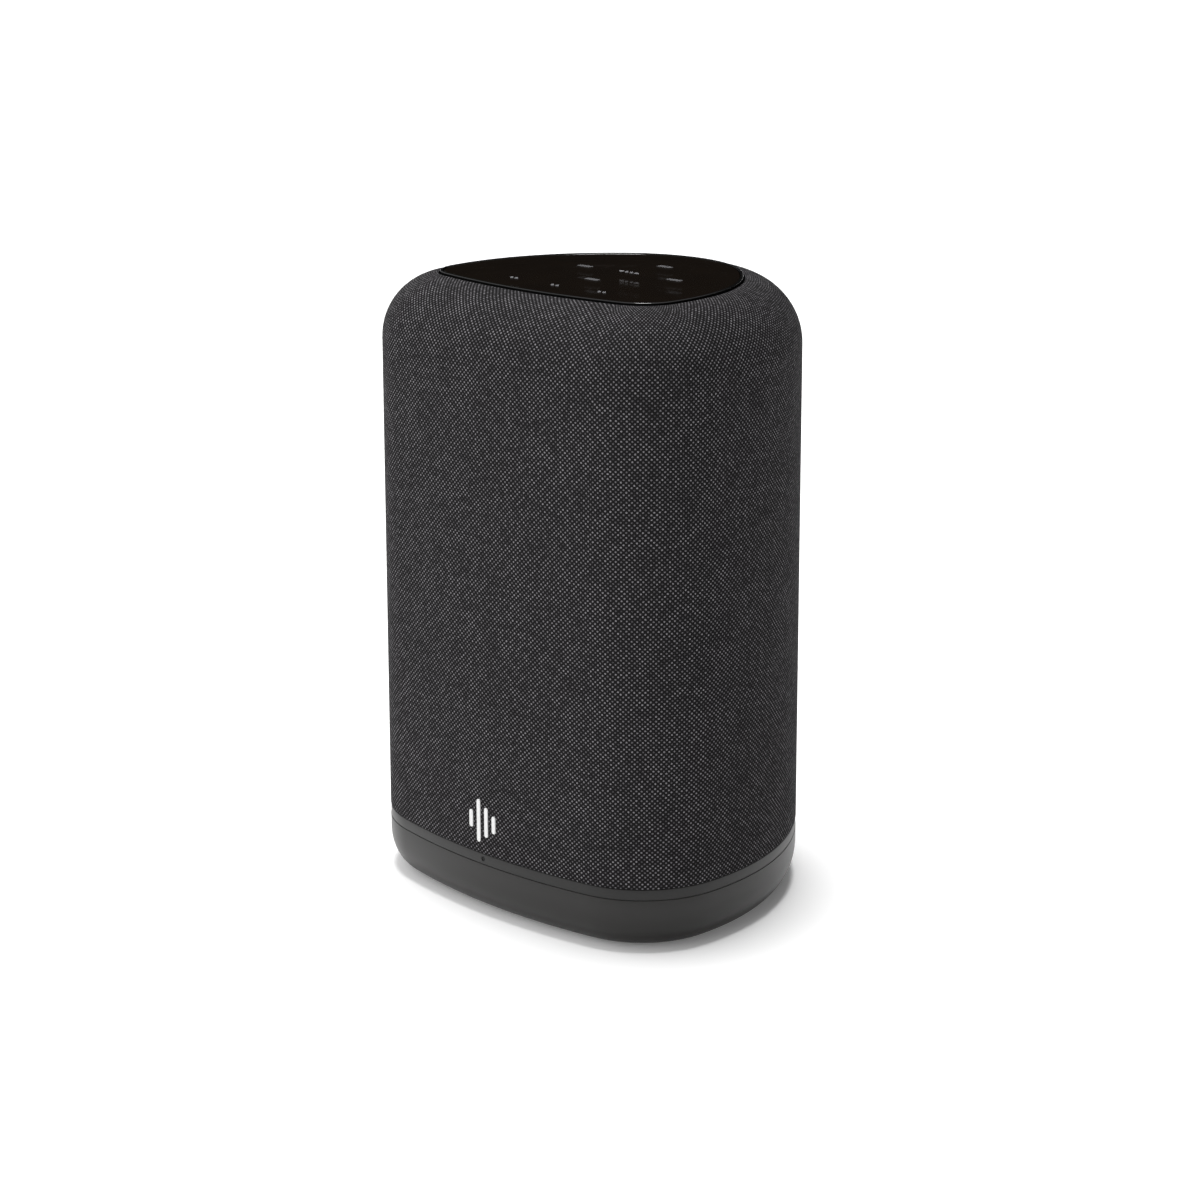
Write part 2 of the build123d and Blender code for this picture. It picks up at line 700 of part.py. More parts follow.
with BuildPart() as woofer_surround:
    with BuildSketch(turning_plane(WOOFER_Z)):
        with BuildLine():
            ThreePointArc((40.6, -41.1), (37.1, -44.6), (33.6, -41.1))
            Polyline((33.6, -41.1), (33.5, -40.2), (34.3, -40.2), (34.4, -41.1))
            ThreePointArc((34.4, -41.1), (37.1, -43.8), (39.8, -41.1))
            lip = [(39.8, -41.1), (39.8, FLANGE_FRONT), (43.0, FLANGE_FRONT), (43.0, -41.1)]
            Polyline(*lip, (40.6, -41.1))
        make_face()
    revolve(axis=driver_axis(WOOFER_Z))
pieces["woofer_surround"] = woofer_surround

with BuildPart() as woofer_spider:
    with BuildSketch(turning_plane(WOOFER_Z)):
        with BuildLine():
            waves = [(13.0 + step * 2.45, -19.6 + (0.9 if step % 2 else -0.5)) for step in range(8)]
            Polyline(*waves, *[(r, y + 0.45) for r, y in reversed(waves)], close=True)
        make_face()
    revolve(axis=driver_axis(WOOFER_Z))
pieces["woofer_spider"] = woofer_spider

LUG_RADIUS = 40.3
LUG_ANGLE = degrees(asin(22.0 / hypot(22.0, 34.0)))

with BuildPart() as woofer_terminals:
    reach = LUG_RADIUS * cos(radians(LUG_ANGLE))
    drop = LUG_RADIUS * sin(radians(LUG_ANGLE))
    with BuildSketch(facing_front(-22.0)):
        with Locations(Location((-reach, WOOFER_Z - drop), LUG_ANGLE)):
            Rectangle(8.0, 9.0)
    extrude(amount=1.2)
pieces["woofer_terminals"] = woofer_terminals

# ---- tweeter --------------------------------------------------------------------------------------

FACEPLATE_FRONT = TWEETER_SEAT - 2.6

with BuildPart() as tweeter_faceplate:
    with BuildSketch(turning_plane(TWEETER_Z)):
        add(
            section(
                (10.6, TWEETER_SEAT - 0.6),
                (13.0, FACEPLATE_FRONT),
                (18.0, FACEPLATE_FRONT),
                (18.0, TWEETER_SEAT),
                (10.6, TWEETER_SEAT),
            )
        )
    revolve(axis=driver_axis(TWEETER_Z))
    with BuildSketch(facing_front(-30)):
        with Locations(*driver_screw_places(TWEETER_PCD, TWEETER_Z)):
            Circle(0.9 + FIT)
    extrude(amount=20, mode=Mode.SUBTRACT)
pieces["tweeter_faceplate"] = tweeter_faceplate

with BuildPart() as tweeter_magnet:
    with BuildSketch(turning_plane(TWEETER_Z)):
        add(
            section(
                (0, -36.0),
                (8.7, -36.0),
                (8.7, -26.0),
                (10.2, -26.0),
                (10.2, -36.9),
                (14.0, -36.9),
                (14.0, -22.0),
                (0, -22.0),
            )
        )
    revolve(axis=driver_axis(TWEETER_Z))
pieces["tweeter_magnet"] = tweeter_magnet

with BuildPart() as tweeter_voice_coil:
    with BuildSketch(turning_plane(TWEETER_Z)):
        add(section((9.1, -37.4), (9.6, -37.4), (9.6, -31.0), (9.1, -31.0)))
    revolve(axis=driver_axis(TWEETER_Z))
pieces["tweeter_voice_coil"] = tweeter_voice_coil

with BuildPart() as tweeter_dome:
    with BuildSketch(turning_plane(TWEETER_Z)):
        with BuildLine():
            dome_out = ThreePointArc((0, -41.2), (5.2, -40.2), (9.7, -37.9))
            dome_in = ThreePointArc((0, -40.8), (5.0, -39.8), (9.2, -37.5))
            Line(dome_out @ 0, dome_in @ 0)
            Polyline(dome_out @ 1, (9.7, -37.45), dome_in @ 1)
        make_face()
    revolve(axis=driver_axis(TWEETER_Z))
pieces["tweeter_dome"] = tweeter_dome

with BuildPart() as driver_screws:
    with BuildSketch(facing_front(FLANGE_FRONT)):
        with Locations(*driver_screw_places(WOOFER_PCD, WOOFER_Z)):
            Circle(2.0)
    extrude(amount=1.6)
    with BuildSketch(facing_front(-32)):
        with Locations(*driver_screw_places(WOOFER_PCD, WOOFER_Z)):
            Circle(1.25)
    extrude(amount=-32 - FLANGE_FRONT)
    with BuildSketch(facing_front(FACEPLATE_FRONT)):
        with Locations(*driver_screw_places(TWEETER_PCD, TWEETER_Z)):
            Circle(1.6)
    extrude(amount=1.0)
    with BuildSketch(facing_front(-33.5)):
        with Locations(*driver_screw_places(TWEETER_PCD, TWEETER_Z)):
            Circle(0.9)
    extrude(amount=-33.5 - FACEPLATE_FRONT)
pieces["driver_screws"] = driver_screws

# ---- electronics ----------------------------------------------------------------------------------

POWER_BOARD_Z = 8.0
BOARD_THICK = 1.6

with BuildPart() as power_board:
    with BuildSketch(Plane.XY.offset(POWER_BOARD_Z)):
        with Locations((0, 23)):
            RectangleRounded(60, 26, 2)
        with Locations(*POWER_BOARD_POSTS):
            Circle(1.2 + FIT, mode=Mode.SUBTRACT)
    extrude(amount=BOARD_THICK)
pieces["power_board"] = power_board

with BuildPart() as transformer_core:
    with Locations((-13, 21, POWER_BOARD_Z + BOARD_THICK)):
        Box(20, 16, 10, align=(Align.CENTER, Align.CENTER, Align.MIN))
    with Locations((-13, 21, POWER_BOARD_Z + BOARD_THICK + 5)):
        with GridLocations(10.5, 1, 2, 1):
            Box(4.5, 20, 6.2, mode=Mode.SUBTRACT)
pieces["transformer_core"] = transformer_core

with BuildPart() as transformer_winding:
    with Locations((-13, 21, POWER_BOARD_Z + BOARD_THICK + 5)):
        with GridLocations(10.5, 1, 2, 1):
            Box(4.3, 14, 6.0)
pieces["transformer_winding"] = transformer_winding

with BuildPart() as capacitors:
    with BuildSketch(Plane.XY.offset(POWER_BOARD_Z + BOARD_THICK)):
        with Locations((3.2, 28), (14.4, 28)):
            Circle(5.0)
    extrude(amount=12)
    with BuildSketch(Plane.XY.offset(POWER_BOARD_Z + BOARD_THICK)):
        with Locations((3, 15), (10, 15), (17, 15)):
            Circle(2.6)
    extrude(amount=8)
    fillet(capacitors.faces().filter_by(Axis.Z).group_by(Axis.Z)[-1].edges(), radius=0.6)
pieces["capacitors"] = capacitors

with BuildPart() as main_board:
    with BuildSketch(facing_front(BOARD_BACK)):
        with Locations((0, 47)):
            RectangleRounded(76, 42, 2)
        with Locations(*MAIN_BOARD_POSTS):
            Circle(1.2 + FIT, mode=Mode.SUBTRACT)
    extrude(amount=BOARD_BACK - BOARD_FRONT)
pieces["main_board"] = main_board

with BuildPart() as board_screws:
    with BuildSketch(Plane.XY.offset(POWER_BOARD_Z + BOARD_THICK)):
        with Locations(*POWER_BOARD_POSTS):
            Circle(2.3)
    extrude(amount=1.5)
    with BuildSketch(Plane.XY.offset(4.6)):
        with Locations(*POWER_BOARD_POSTS):
            Circle(1.2)
    extrude(amount=POWER_BOARD_Z + BOARD_THICK - 4.6)
    with BuildSketch(facing_front(BOARD_BACK + 1.5)):
        with Locations(*MAIN_BOARD_POSTS):
            Circle(2.3)
    extrude(amount=1.5)
    with BuildSketch(facing_front(BOARD_BACK)):
        with Locations(*MAIN_BOARD_POSTS):
            Circle(1.2)
    extrude(amount=6.5)
pieces["board_screws"] = board_screws

with BuildPart() as processor_chips:
    with BuildSketch(facing_front(BOARD_FRONT)):
        with Locations((8, 48)):
            Rectangle(14, 14)
        with Locations((21, 52), (21, 42)):
            Rectangle(7, 8)
    extrude(amount=1.2)
pieces["processor_chips"] = processor_chips

with BuildPart() as shield_can:
    with BuildSketch(facing_front(BOARD_FRONT)):
        with Locations((13, 47)):
            Rectangle(30, 28)
    extrude(amount=3.0)
    with BuildSketch(facing_front(BOARD_FRONT)):
        with Locations((13, 47)):
            Rectangle(29.2, 27.2)
    extrude(amount=2.6, mode=Mode.SUBTRACT)
pieces["shield_can"] = shield_can

with BuildPart() as amplifier_heat_sink:
    with BuildSketch(facing_front(BOARD_FRONT)):
        with Locations((-16, 47)):
            Rectangle(20, 26)
    extrude(amount=1.6)
    with BuildSketch(facing_front(BOARD_FRONT - 1.6)):
        with Locations((-16, 47)):
            with GridLocations(3, 1, 7, 1):
                Rectangle(1.2, 26)
    extrude(amount=4.4)
pieces["amplifier_heat_sink"] = amplifier_heat_sink

CONNECTOR_X = 25.7
SOCKET_TALL = 3.0
UPPER_SOCKET_Z = 27.0

with BuildPart() as board_connectors:
    with Locations((CONNECTOR_X, 27, POWER_BOARD_Z + BOARD_THICK)):
        Box(7.5, 4.8, SOCKET_TALL, align=(Align.CENTER, Align.CENTER, Align.MIN))
    with Locations((CONNECTOR_X, BOARD_BACK, UPPER_SOCKET_Z)):
        Box(7.5, 3, 4.8, align=(Align.CENTER, Align.MIN, Align.MIN))
    with Locations((0, BOARD_BACK, 63)):
        Box(15, 2.4, 3.6, align=(Align.CENTER, Align.MIN, Align.MIN))
pieces["board_connectors"] = board_connectors

with BuildPart() as lead_grommet:
    with BuildSketch(facing_front(BAY_WALL_Y + 1.2)):
        with Locations(LEAD_HOLE):
            Circle(5.4)
            Circle(2.6, mode=Mode.SUBTRACT)
    extrude(amount=1.2)
    with BuildSketch(facing_front(BAY_WALL_Y)):
        with Locations(LEAD_HOLE):
            Circle(4.0)
            Circle(2.6, mode=Mode.SUBTRACT)
    extrude(amount=CABINET_WALL)
    with BuildSketch(facing_front(BAY_WALL_Y - CABINET_WALL)):
        with Locations(LEAD_HOLE):
            Circle(5.4)
            Circle(2.6, mode=Mode.SUBTRACT)
    extrude(amount=1.2)
pieces["lead_grommet"] = lead_grommet

LEAD_RADIUS = 0.7
LEAD_STEP = 1.2

with BuildPart() as speaker_leads:
    with BuildSketch(facing_front(BOARD_FRONT)):
        with Locations(LEAD_HOLE):
            with Locations((-LEAD_STEP, -LEAD_STEP), (LEAD_STEP, -LEAD_STEP)):
                Circle(LEAD_RADIUS)
    extrude(amount=BOARD_FRONT + 22.0)
    for side in (-LEAD_STEP, LEAD_STEP):
        x_lead = LEAD_HOLE[0] + side
        z_lead = LEAD_HOLE[1] + LEAD_STEP
        with BuildLine():
            FilletPolyline(
                (x_lead, BOARD_FRONT, z_lead),
                (x_lead, 0, z_lead),
                (x_lead, 0, 120),
                (side * 2, -8, 140),
                (side * 2, -21.8, 140),
                radius=[9, 14, 6],
            )
        with BuildSketch(facing_front(BOARD_FRONT)):
            with Locations((x_lead, z_lead)):
                Circle(LEAD_RADIUS)
        sweep()
pieces["speaker_leads"] = speaker_leads

RIBBON_Y = 51.1
RIBBON_THICK = 0.3

with BuildPart() as touch_ribbon:
    with BuildSketch(Plane.YZ.offset(-6)):
        with BuildLine():
            FilletPolyline(
                (BOARD_BACK + 2.4, 64.8),
                (33.0, 64.8),
                (38.0, 68.2),
                (RIBBON_Y, 68.2),
                (RIBBON_Y, 165.0),
                (31.0, 169.0),
                (31.0, 177.0),
                radius=[3, 3, 1.6, 3, 4],
            )
        trace(line_width=RIBBON_THICK)
    extrude(amount=12)
pieces["touch_ribbon"] = touch_ribbon

with BuildPart() as antennas:
    with Locations((-38, 0, CABINET_TOP), (38, 0, CABINET_TOP)):
        Box(0.8, 26, 8, align=(Align.CENTER, Align.CENTER, Align.MIN))
pieces["antennas"] = antennas

# ---- connector recess at the back -----------------------------------------------------------------

ETHERNET_SIZE = (16.0, 13.5)
USB_SIZE = (13.2, 5.8)
POWER_SIZE = (20.0, 12.6)


def rectangle_at(place, size, grow=0.0):
    with BuildSketch() as outline:
        with Locations(place):
            Rectangle(size[0] + 2 * grow, size[1] + 2 * grow)
    return outline.sketch


def circle_at(place, radius):
    with BuildSketch() as outline:
        with Locations(place):
            Circle(radius)
    return outline.sketch


def figure_eight(place):
    """Mouth of the two-pin mains inlet."""
    with BuildSketch() as mouth:
        with Locations(place):
            with GridLocations(6.0, 1, 2, 1):
                Circle(4.1)
            Rectangle(6.0, 6.8)
    return mouth.sketch


with BuildPart() as io_panel:
    add(depth_block(tub_outline(0, 6), TUB_FLOOR_IN, 60))
    add(depth_block(tub_outline(-TUB_WALL, 4), TUB_FLOOR, 70), mode=Mode.SUBTRACT)
    add(body_blank(0.1, RING_TOP, FABRIC_TOP, SHOULDER), mode=Mode.INTERSECT)
    with BuildPart(mode=Mode.PRIVATE) as flange:
        add(straight_blank(GRILLE_IN + 0.35, 20.6, 66.6))
        add(straight_blank(GRILLE_IN + 1.8, 20, 67), mode=Mode.SUBTRACT)
        add(depth_block(tub_outline(2.6, 8), 20, 60), mode=Mode.INTERSECT)
        add(depth_block(tub_outline(-1, 5), 20, 60), mode=Mode.SUBTRACT)
    add(flange.part)
    add(depth_block(rectangle_at(ETHERNET_XZ, ETHERNET_SIZE, 0.15), 30, 60), mode=Mode.SUBTRACT)
    add(depth_block(rectangle_at(USB_XZ, USB_SIZE, 0.15), 30, 60), mode=Mode.SUBTRACT)
    add(depth_block(rectangle_at(POWER_XZ, POWER_SIZE, 0.15), 30, 60), mode=Mode.SUBTRACT)
    add(depth_block(circle_at(AUDIO_XZ, 3.75), 30, 60), mode=Mode.SUBTRACT)
    add(depth_block(circle_at(BUTTON_XZ, 2.8), 30, 60), mode=Mode.SUBTRACT)
pieces["io_panel"] = io_panel

with BuildPart() as ethernet_jack:
    add(depth_block(rectangle_at(ETHERNET_XZ, ETHERNET_SIZE), BOARD_BACK, PORT_FACE))
    add(depth_block(rectangle_at(ETHERNET_XZ, (11.8, 8.4)), 29, 60), mode=Mode.SUBTRACT)
    latch_place = (ETHERNET_XZ[0], ETHERNET_XZ[1] - 5.0)
    add(depth_block(rectangle_at(latch_place, (6.2, 2.4)), 33, 60), mode=Mode.SUBTRACT)
pieces["ethernet_jack"] = ethernet_jack

with BuildPart() as ethernet_contacts:
    with BuildSketch(facing_front(38)):
        with Locations((ETHERNET_XZ[0], ETHERNET_XZ[1] + 3.8)):
            with GridLocations(1.02, 1, 8, 1):
                Rectangle(0.4, 0.6)
    extrude(amount=9)
pieces["ethernet_contacts"] = ethernet_contacts

with BuildPart() as usb_port:
    add(depth_block(rectangle_at(USB_XZ, USB_SIZE), BOARD_BACK, PORT_FACE))
    add(depth_block(rectangle_at(USB_XZ, USB_SIZE, -0.35), 29, 60), mode=Mode.SUBTRACT)
pieces["usb_port"] = usb_port

with BuildPart() as usb_tongue:
    tongue_place = (USB_XZ[0], USB_XZ[1] + 1.0)
    add(depth_block(rectangle_at(tongue_place, (11.0, 1.8)), 29, 41.2))
pieces["usb_tongue"] = usb_tongue

AUDIO_BORE = 1.8
AUDIO_LENGTH = 14.0

with BuildPart() as audio_jack:
    add(depth_block(rectangle_at(AUDIO_XZ, (9.0, 9.0)), BOARD_BACK, TUB_FLOOR_IN))
    add(depth_block(circle_at(AUDIO_XZ, 3.6), TUB_FLOOR_IN, PORT_FACE))
    add(
        depth_block(circle_at(AUDIO_XZ, AUDIO_BORE), PORT_FACE - AUDIO_LENGTH, 60),
        mode=Mode.SUBTRACT,
    )
pieces["audio_jack"] = audio_jack

POWER_BACK = 28.4
PIN_RADIUS = 1.2
PIN_HALF_PITCH = 4.3

with BuildPart() as power_inlet:
    add(depth_block(rectangle_at(POWER_XZ, POWER_SIZE), POWER_BACK, PORT_FACE))
    add(depth_block(figure_eight(POWER_XZ), 31.4, 60), mode=Mode.SUBTRACT)
    with BuildSketch(facing_front(60)):
        with Locations(POWER_XZ):
            with GridLocations(2 * PIN_HALF_PITCH, 1, 2, 1):
                Circle(PIN_RADIUS + 0.01)
    extrude(amount=40, mode=Mode.SUBTRACT)
pieces["power_inlet"] = power_inlet

with BuildPart() as power_inlet_pins:
    with BuildSketch(facing_front(40.4)):
        with Locations(POWER_XZ):
            with GridLocations(2 * PIN_HALF_PITCH, 1, 2, 1):
                Circle(PIN_RADIUS)
    extrude(amount=13.4)
    fillet(power_inlet_pins.edges().group_by(Axis.Y)[-1], radius=0.7)
pieces["power_inlet_pins"] = power_inlet_pins

with BuildPart() as power_leads:
    inlet_bottom = POWER_XZ[1] - POWER_SIZE[1] / 2
    socket_top = POWER_BOARD_Z + BOARD_THICK + SOCKET_TALL
    with BuildSketch(Plane.XY.offset(socket_top)):
        with Locations((CONNECTOR_X, BOARD_BACK + 1.5)):
            with GridLocations(1.7, 1, 4, 1):
                Circle(0.6)
    extrude(amount=UPPER_SOCKET_Z - socket_top)
    with BuildSketch(Plane.XY.offset(POWER_BOARD_Z + BOARD_THICK)):
        with Locations((POWER_XZ[0], 33)):
            with GridLocations(2 * PIN_HALF_PITCH, 1, 2, 1):
                Circle(0.9)
    extrude(amount=inlet_bottom - POWER_BOARD_Z - BOARD_THICK)
pieces["power_leads"] = power_leads

with BuildPart() as pairing_button:
    add(depth_block(circle_at(BUTTON_XZ, 2.6), 39.8, PORT_FACE + 0.4))
    fillet(pairing_button.edges().group_by(Axis.Y)[-1], radius=0.4)
    add(depth_block(circle_at(BUTTON_XZ, 3.4), 38.6, 39.8))
    add(depth_block(circle_at(BUTTON_XZ, 1.3), 30.5, 38.6))
pieces["pairing_button"] = pairing_button

with BuildPart() as button_switch:
    add(depth_block(rectangle_at(BUTTON_XZ, (6, 6)), BOARD_BACK, 29.4))
    add(depth_block(circle_at(BUTTON_XZ, 1.6), 29.4, 30.0))
pieces["button_switch"] = button_switch

# ---- files ----------------------------------------------------------------------------------------

os.makedirs("parts", exist_ok=True)
for name, piece in pieces.items():
    piece.part.label = name
    export_step(piece.part, f"parts/{name}.step")
print(len(pieces), "pieces written")
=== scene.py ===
"""Looks of the smart speaker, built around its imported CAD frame. Metres, front faces -Y, +Z up."""

import json
import math

import bmesh
import bpy
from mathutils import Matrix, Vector


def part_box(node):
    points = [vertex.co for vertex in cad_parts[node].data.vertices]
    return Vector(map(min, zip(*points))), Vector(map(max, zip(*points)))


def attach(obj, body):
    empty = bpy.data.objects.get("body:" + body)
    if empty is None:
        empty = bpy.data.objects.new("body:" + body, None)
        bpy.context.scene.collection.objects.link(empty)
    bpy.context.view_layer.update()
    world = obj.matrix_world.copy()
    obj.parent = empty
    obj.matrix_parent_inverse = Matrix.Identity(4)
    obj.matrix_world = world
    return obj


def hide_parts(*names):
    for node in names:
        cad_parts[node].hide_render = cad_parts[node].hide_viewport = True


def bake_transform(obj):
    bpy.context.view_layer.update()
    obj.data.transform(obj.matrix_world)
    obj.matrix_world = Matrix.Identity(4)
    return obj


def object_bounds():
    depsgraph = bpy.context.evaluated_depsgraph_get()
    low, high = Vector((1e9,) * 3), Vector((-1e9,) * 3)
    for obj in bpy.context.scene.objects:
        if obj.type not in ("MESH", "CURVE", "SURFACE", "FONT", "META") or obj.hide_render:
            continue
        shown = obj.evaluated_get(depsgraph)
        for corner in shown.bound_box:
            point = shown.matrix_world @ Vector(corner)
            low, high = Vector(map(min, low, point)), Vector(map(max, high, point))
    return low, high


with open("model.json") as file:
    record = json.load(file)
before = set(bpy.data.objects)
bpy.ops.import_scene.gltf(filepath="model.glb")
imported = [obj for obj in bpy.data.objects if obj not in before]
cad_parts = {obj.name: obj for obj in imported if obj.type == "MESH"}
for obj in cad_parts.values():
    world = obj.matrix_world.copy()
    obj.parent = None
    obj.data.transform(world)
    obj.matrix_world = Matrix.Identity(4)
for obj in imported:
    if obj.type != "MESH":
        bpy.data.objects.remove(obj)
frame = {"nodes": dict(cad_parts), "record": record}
cad_low, cad_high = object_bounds()

MM = 0.001

# ---- the body's sizes, read from the frame --------------------------------------------------------

WIDTH = round((cad_high.x - cad_low.x) / MM) * MM
DEPTH = round((cad_high.y - cad_low.y) / MM) * MM
FRONT_RADIUS = 190 * MM
FRONT_TURN = math.radians(11.6)
SIDE_RADIUS = 78 * MM
CORNER_TURN = math.radians(84)
LEAN = math.tan(math.radians(0.255))

RING_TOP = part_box("fabric_cover")[0].z
PAN_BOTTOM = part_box("base_pan")[0].z - 0.5 * MM
PAN_TOP = 16 * MM
PAN_ROUND = 10.4 * MM
PAN_TUCK = 7.6 * MM
PAN_RISE = 11.4 * MM
PAN_WALL = 2.4 * MM
PAD_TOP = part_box("foot_pad")[1].z
PAD_INSET = 13.9 * MM
SHOULDER = 19 * MM
FABRIC_TOP = 182.6 * MM
CLOTH = 1.0 * MM
FRAME_INSET = 17.9 * MM
RIM_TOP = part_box("panel_frame")[1].z
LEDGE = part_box("top_panel")[0].z
GUIDE_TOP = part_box("touch_light_guides")[1].z + 0.4 * MM
TUB_LOW, TUB_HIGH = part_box("io_panel")


def footprint_arcs():
    """Centre, radius, first and last facing angle of the right half's arcs; 0 faces the front."""
    turn, corner = FRONT_TURN, CORNER_TURN
    corner_radius = WIDTH / 2 - FRONT_RADIUS * math.sin(turn) - SIDE_RADIUS * (1 - math.sin(corner))
    corner_radius /= math.sin(corner) - math.sin(turn)
    front_y = FRONT_RADIUS - DEPTH / 2
    corner_x = (FRONT_RADIUS - corner_radius) * math.sin(turn)
    corner_y = front_y - (FRONT_RADIUS - corner_radius) * math.cos(turn)
    side_x = corner_x + (corner_radius - SIDE_RADIUS) * math.sin(corner)
    side_y = corner_y - (corner_radius - SIDE_RADIUS) * math.cos(corner)
    rest = DEPTH / 2 - side_y - SIDE_RADIUS
    step = -(side_x**2 + rest**2) / (2 * rest)
    back_radius = SIDE_RADIUS - step
    back_turn = math.pi - math.asin(-side_x / step)
    return [
        (Vector((0, front_y)), FRONT_RADIUS, 0.0, turn),
        (Vector((corner_x, corner_y)), corner_radius, turn, corner),
        (Vector((side_x, side_y)), SIDE_RADIUS, corner, back_turn),
        (Vector((0, DEPTH / 2 - back_radius)), back_radius, back_turn, math.pi),
    ]


ARCS = footprint_arcs()
HALF_ROUND = sum(radius * (last - first) for _, radius, first, last in ARCS)


def station(distance):
    """Arc centre, radius and facing direction at a distance along the outline from the front middle."""
    side = 1 if distance >= 0 else -1
    left = min(abs(distance), HALF_ROUND)
    for centre, radius, first, last in ARCS:
        length = radius * (last - first)
        if left <= length + 1e-9:
            break
        left -= length
    angle = first + left / radius
    facing = Vector((side * math.sin(angle), -math.cos(angle)))
    return Vector((side * centre.x, centre.y)), radius, facing


def outline_point(distance, inset):
    """Point of the outline at a distance along it, moved inwards by the inset."""
    centre, radius, facing = station(distance)
    return centre + facing * (radius - inset)


def even_stations(count):
    """Distances all the way round, evenly spaced, from the back middle and back to it."""
    return [HALF_ROUND * (2 * i / count - 1) for i in range(count)]


# ---- mesh helpers ---------------------------------------------------------------------------------


def finish_mesh(name, mesh, material, body="speaker", sharp=35):
    """Object at the origin, smooth but for edges sharper than the angle, riding on a body."""
    mesh.polygons.foreach_set("use_smooth", [True] * len(mesh.polygons))
    mesh.set_sharp_from_angle(angle=math.radians(sharp))
    piece = bpy.data.objects.new(name, mesh)
    bpy.context.scene.collection.objects.link(piece)
    if material:
        piece.data.materials.append(material)
    if body:
        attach(piece, body)
    return piece


def swept_mesh(name, profile, stations, closed=True, cloth_map=False):
    """Profile of (inset, height) points carried round the body's outline.

    A closed profile makes a ring; an open one is capped flat at both ends."""
    shape = bmesh.new()
    rings = []
    for distance in stations:
        points = [(*outline_point(distance, inset), height) for inset, height in profile]
        rings.append([shape.verts.new(point) for point in points])
    lengths = [0.0]
    for (inset_a, height_a), (inset_b, height_b) in zip(profile, profile[1:]):
        lengths.append(lengths[-1] + math.hypot(inset_b - inset_a, height_b - height_a))
    layer = shape.loops.layers.uv.new("cloth") if cloth_map else None
    rows = len(profile) if closed else len(profile) - 1
    for i, ring in enumerate(rings):
        after = rings[(i + 1) % len(rings)]
        u_a = stations[i]
        u_b = stations[i + 1] if i + 1 < len(stations) else HALF_ROUND
        for j in range(rows):
            k = (j + 1) % len(profile)
            face = shape.faces.new((ring[j], after[j], after[k], ring[k]))
            if layer:
                v_k = lengths[k] if k else lengths[-1] + 1 * MM
                spots = ((u_a, lengths[j]), (u_b, lengths[j]), (u_b, v_k), (u_a, v_k))
                for loop, spot in zip(face.loops, spots):
                    loop[layer].uv = (spot[0] / MM, spot[1] / MM)
    if not closed:
        shape.faces.new([ring[0] for ring in reversed(rings)])
        shape.faces.new([ring[-1] for ring in rings])
    bmesh.ops.recalc_face_normals(shape, faces=shape.faces)
    mesh = bpy.data.meshes.new(name)
    shape.to_mesh(mesh)
    shape.free()
    return mesh


def arc_profile(inset, height, radius, first, last, steps):
    """Points on a quarter round in the profile's plane; 0 degrees points outwards, 90 upwards."""
    points = []
    for i in range(steps + 1):
        angle = math.radians(first + (last - first) * i / steps)
        points.append((inset - radius * math.cos(angle), height + radius * math.sin(angle)))
    return points


def circle(centre, radius, sides=32):
    """Points round a circle, counter-clockwise."""
    turns = [2 * math.pi * i / sides for i in range(sides)]
    return [(centre[0] + radius * math.cos(t), centre[1] + radius * math.sin(t)) for t in turns]


def rounded_rectangle(centre, width, height, corner, steps=8):
    """Corner points of a rounded rectangle, counter-clockwise."""
    points = []
    for number, (sx, sy) in enumerate(((1, 1), (-1, 1), (-1, -1), (1, -1))):
        cx = centre[0] + sx * (width / 2 - corner)
        cy = centre[1] + sy * (height / 2 - corner)
        for i in range(steps + 1):
            angle = math.pi / 2 * (number + i / steps)
            points.append((cx + corner * math.cos(angle), cy + corner * math.sin(angle)))
    return points


def prism_into(shape, points, low, high, axis="z"):
    """Adds a closed prism along z or y to a mesh being built; the outline is in the other two."""
    rings = []
    for level in (low, high):
        places = [(a, b, level) if axis == "z" else (a, level, b) for a, b in points]
        rings.append([shape.verts.new(place) for place in places])
    for i in range(len(points)):
        k = (i + 1) % len(points)
        shape.faces.new((rings[0][i], rings[0][k], rings[1][k], rings[1][i]))
    shape.faces.new(rings[0][::-1])
    shape.faces.new(rings[1])


def carved(mesh, tool_shape, operation):
    """The mesh after a boolean with the tool, which is used up."""
    bmesh.ops.recalc_face_normals(tool_shape, faces=tool_shape.faces)
    tool_mesh = bpy.data.meshes.new("tool")
    tool_shape.to_mesh(tool_mesh)
    tool_shape.free()
    tool = bpy.data.objects.new("tool", tool_mesh)
    work = bpy.data.objects.new("work", mesh)
    for item in (tool, work):
        bpy.context.scene.collection.objects.link(item)
    modifier = work.modifiers.new("carve", "BOOLEAN")
    modifier.operation = operation
    modifier.solver = "EXACT"
    modifier.object = tool
    bpy.context.view_layer.update()
    graph = bpy.context.evaluated_depsgraph_get()
    result = bpy.data.meshes.new_from_object(work.evaluated_get(graph))
    for item in (tool, work):
        bpy.data.objects.remove(item)
    return result


# ---- material helpers -----------------------------------------------------------------------------


def colour(hex_code):
    """Linear colour from an sRGB hex code."""
    channels = [int(hex_code[i : i + 2], 16) / 255 for i in (1, 3, 5)]
    linear = [c / 12.92 if c <= 0.04045 else ((c + 0.055) / 1.055) ** 2.4 for c in channels]
    return (*linear, 1.0)


def add(tree, kind, inputs=None, **settings):
    """A node with its settings; inputs are values or the sockets that feed them."""
    made = tree.nodes.new("ShaderNode" + kind)
    for key, value in settings.items():
        setattr(made, key, value)
    for key, value in (inputs or {}).items():
        if isinstance(value, bpy.types.NodeSocket):
            tree.links.new(value, made.inputs[key])
        else:
            made.inputs[key].default_value = value
    return made


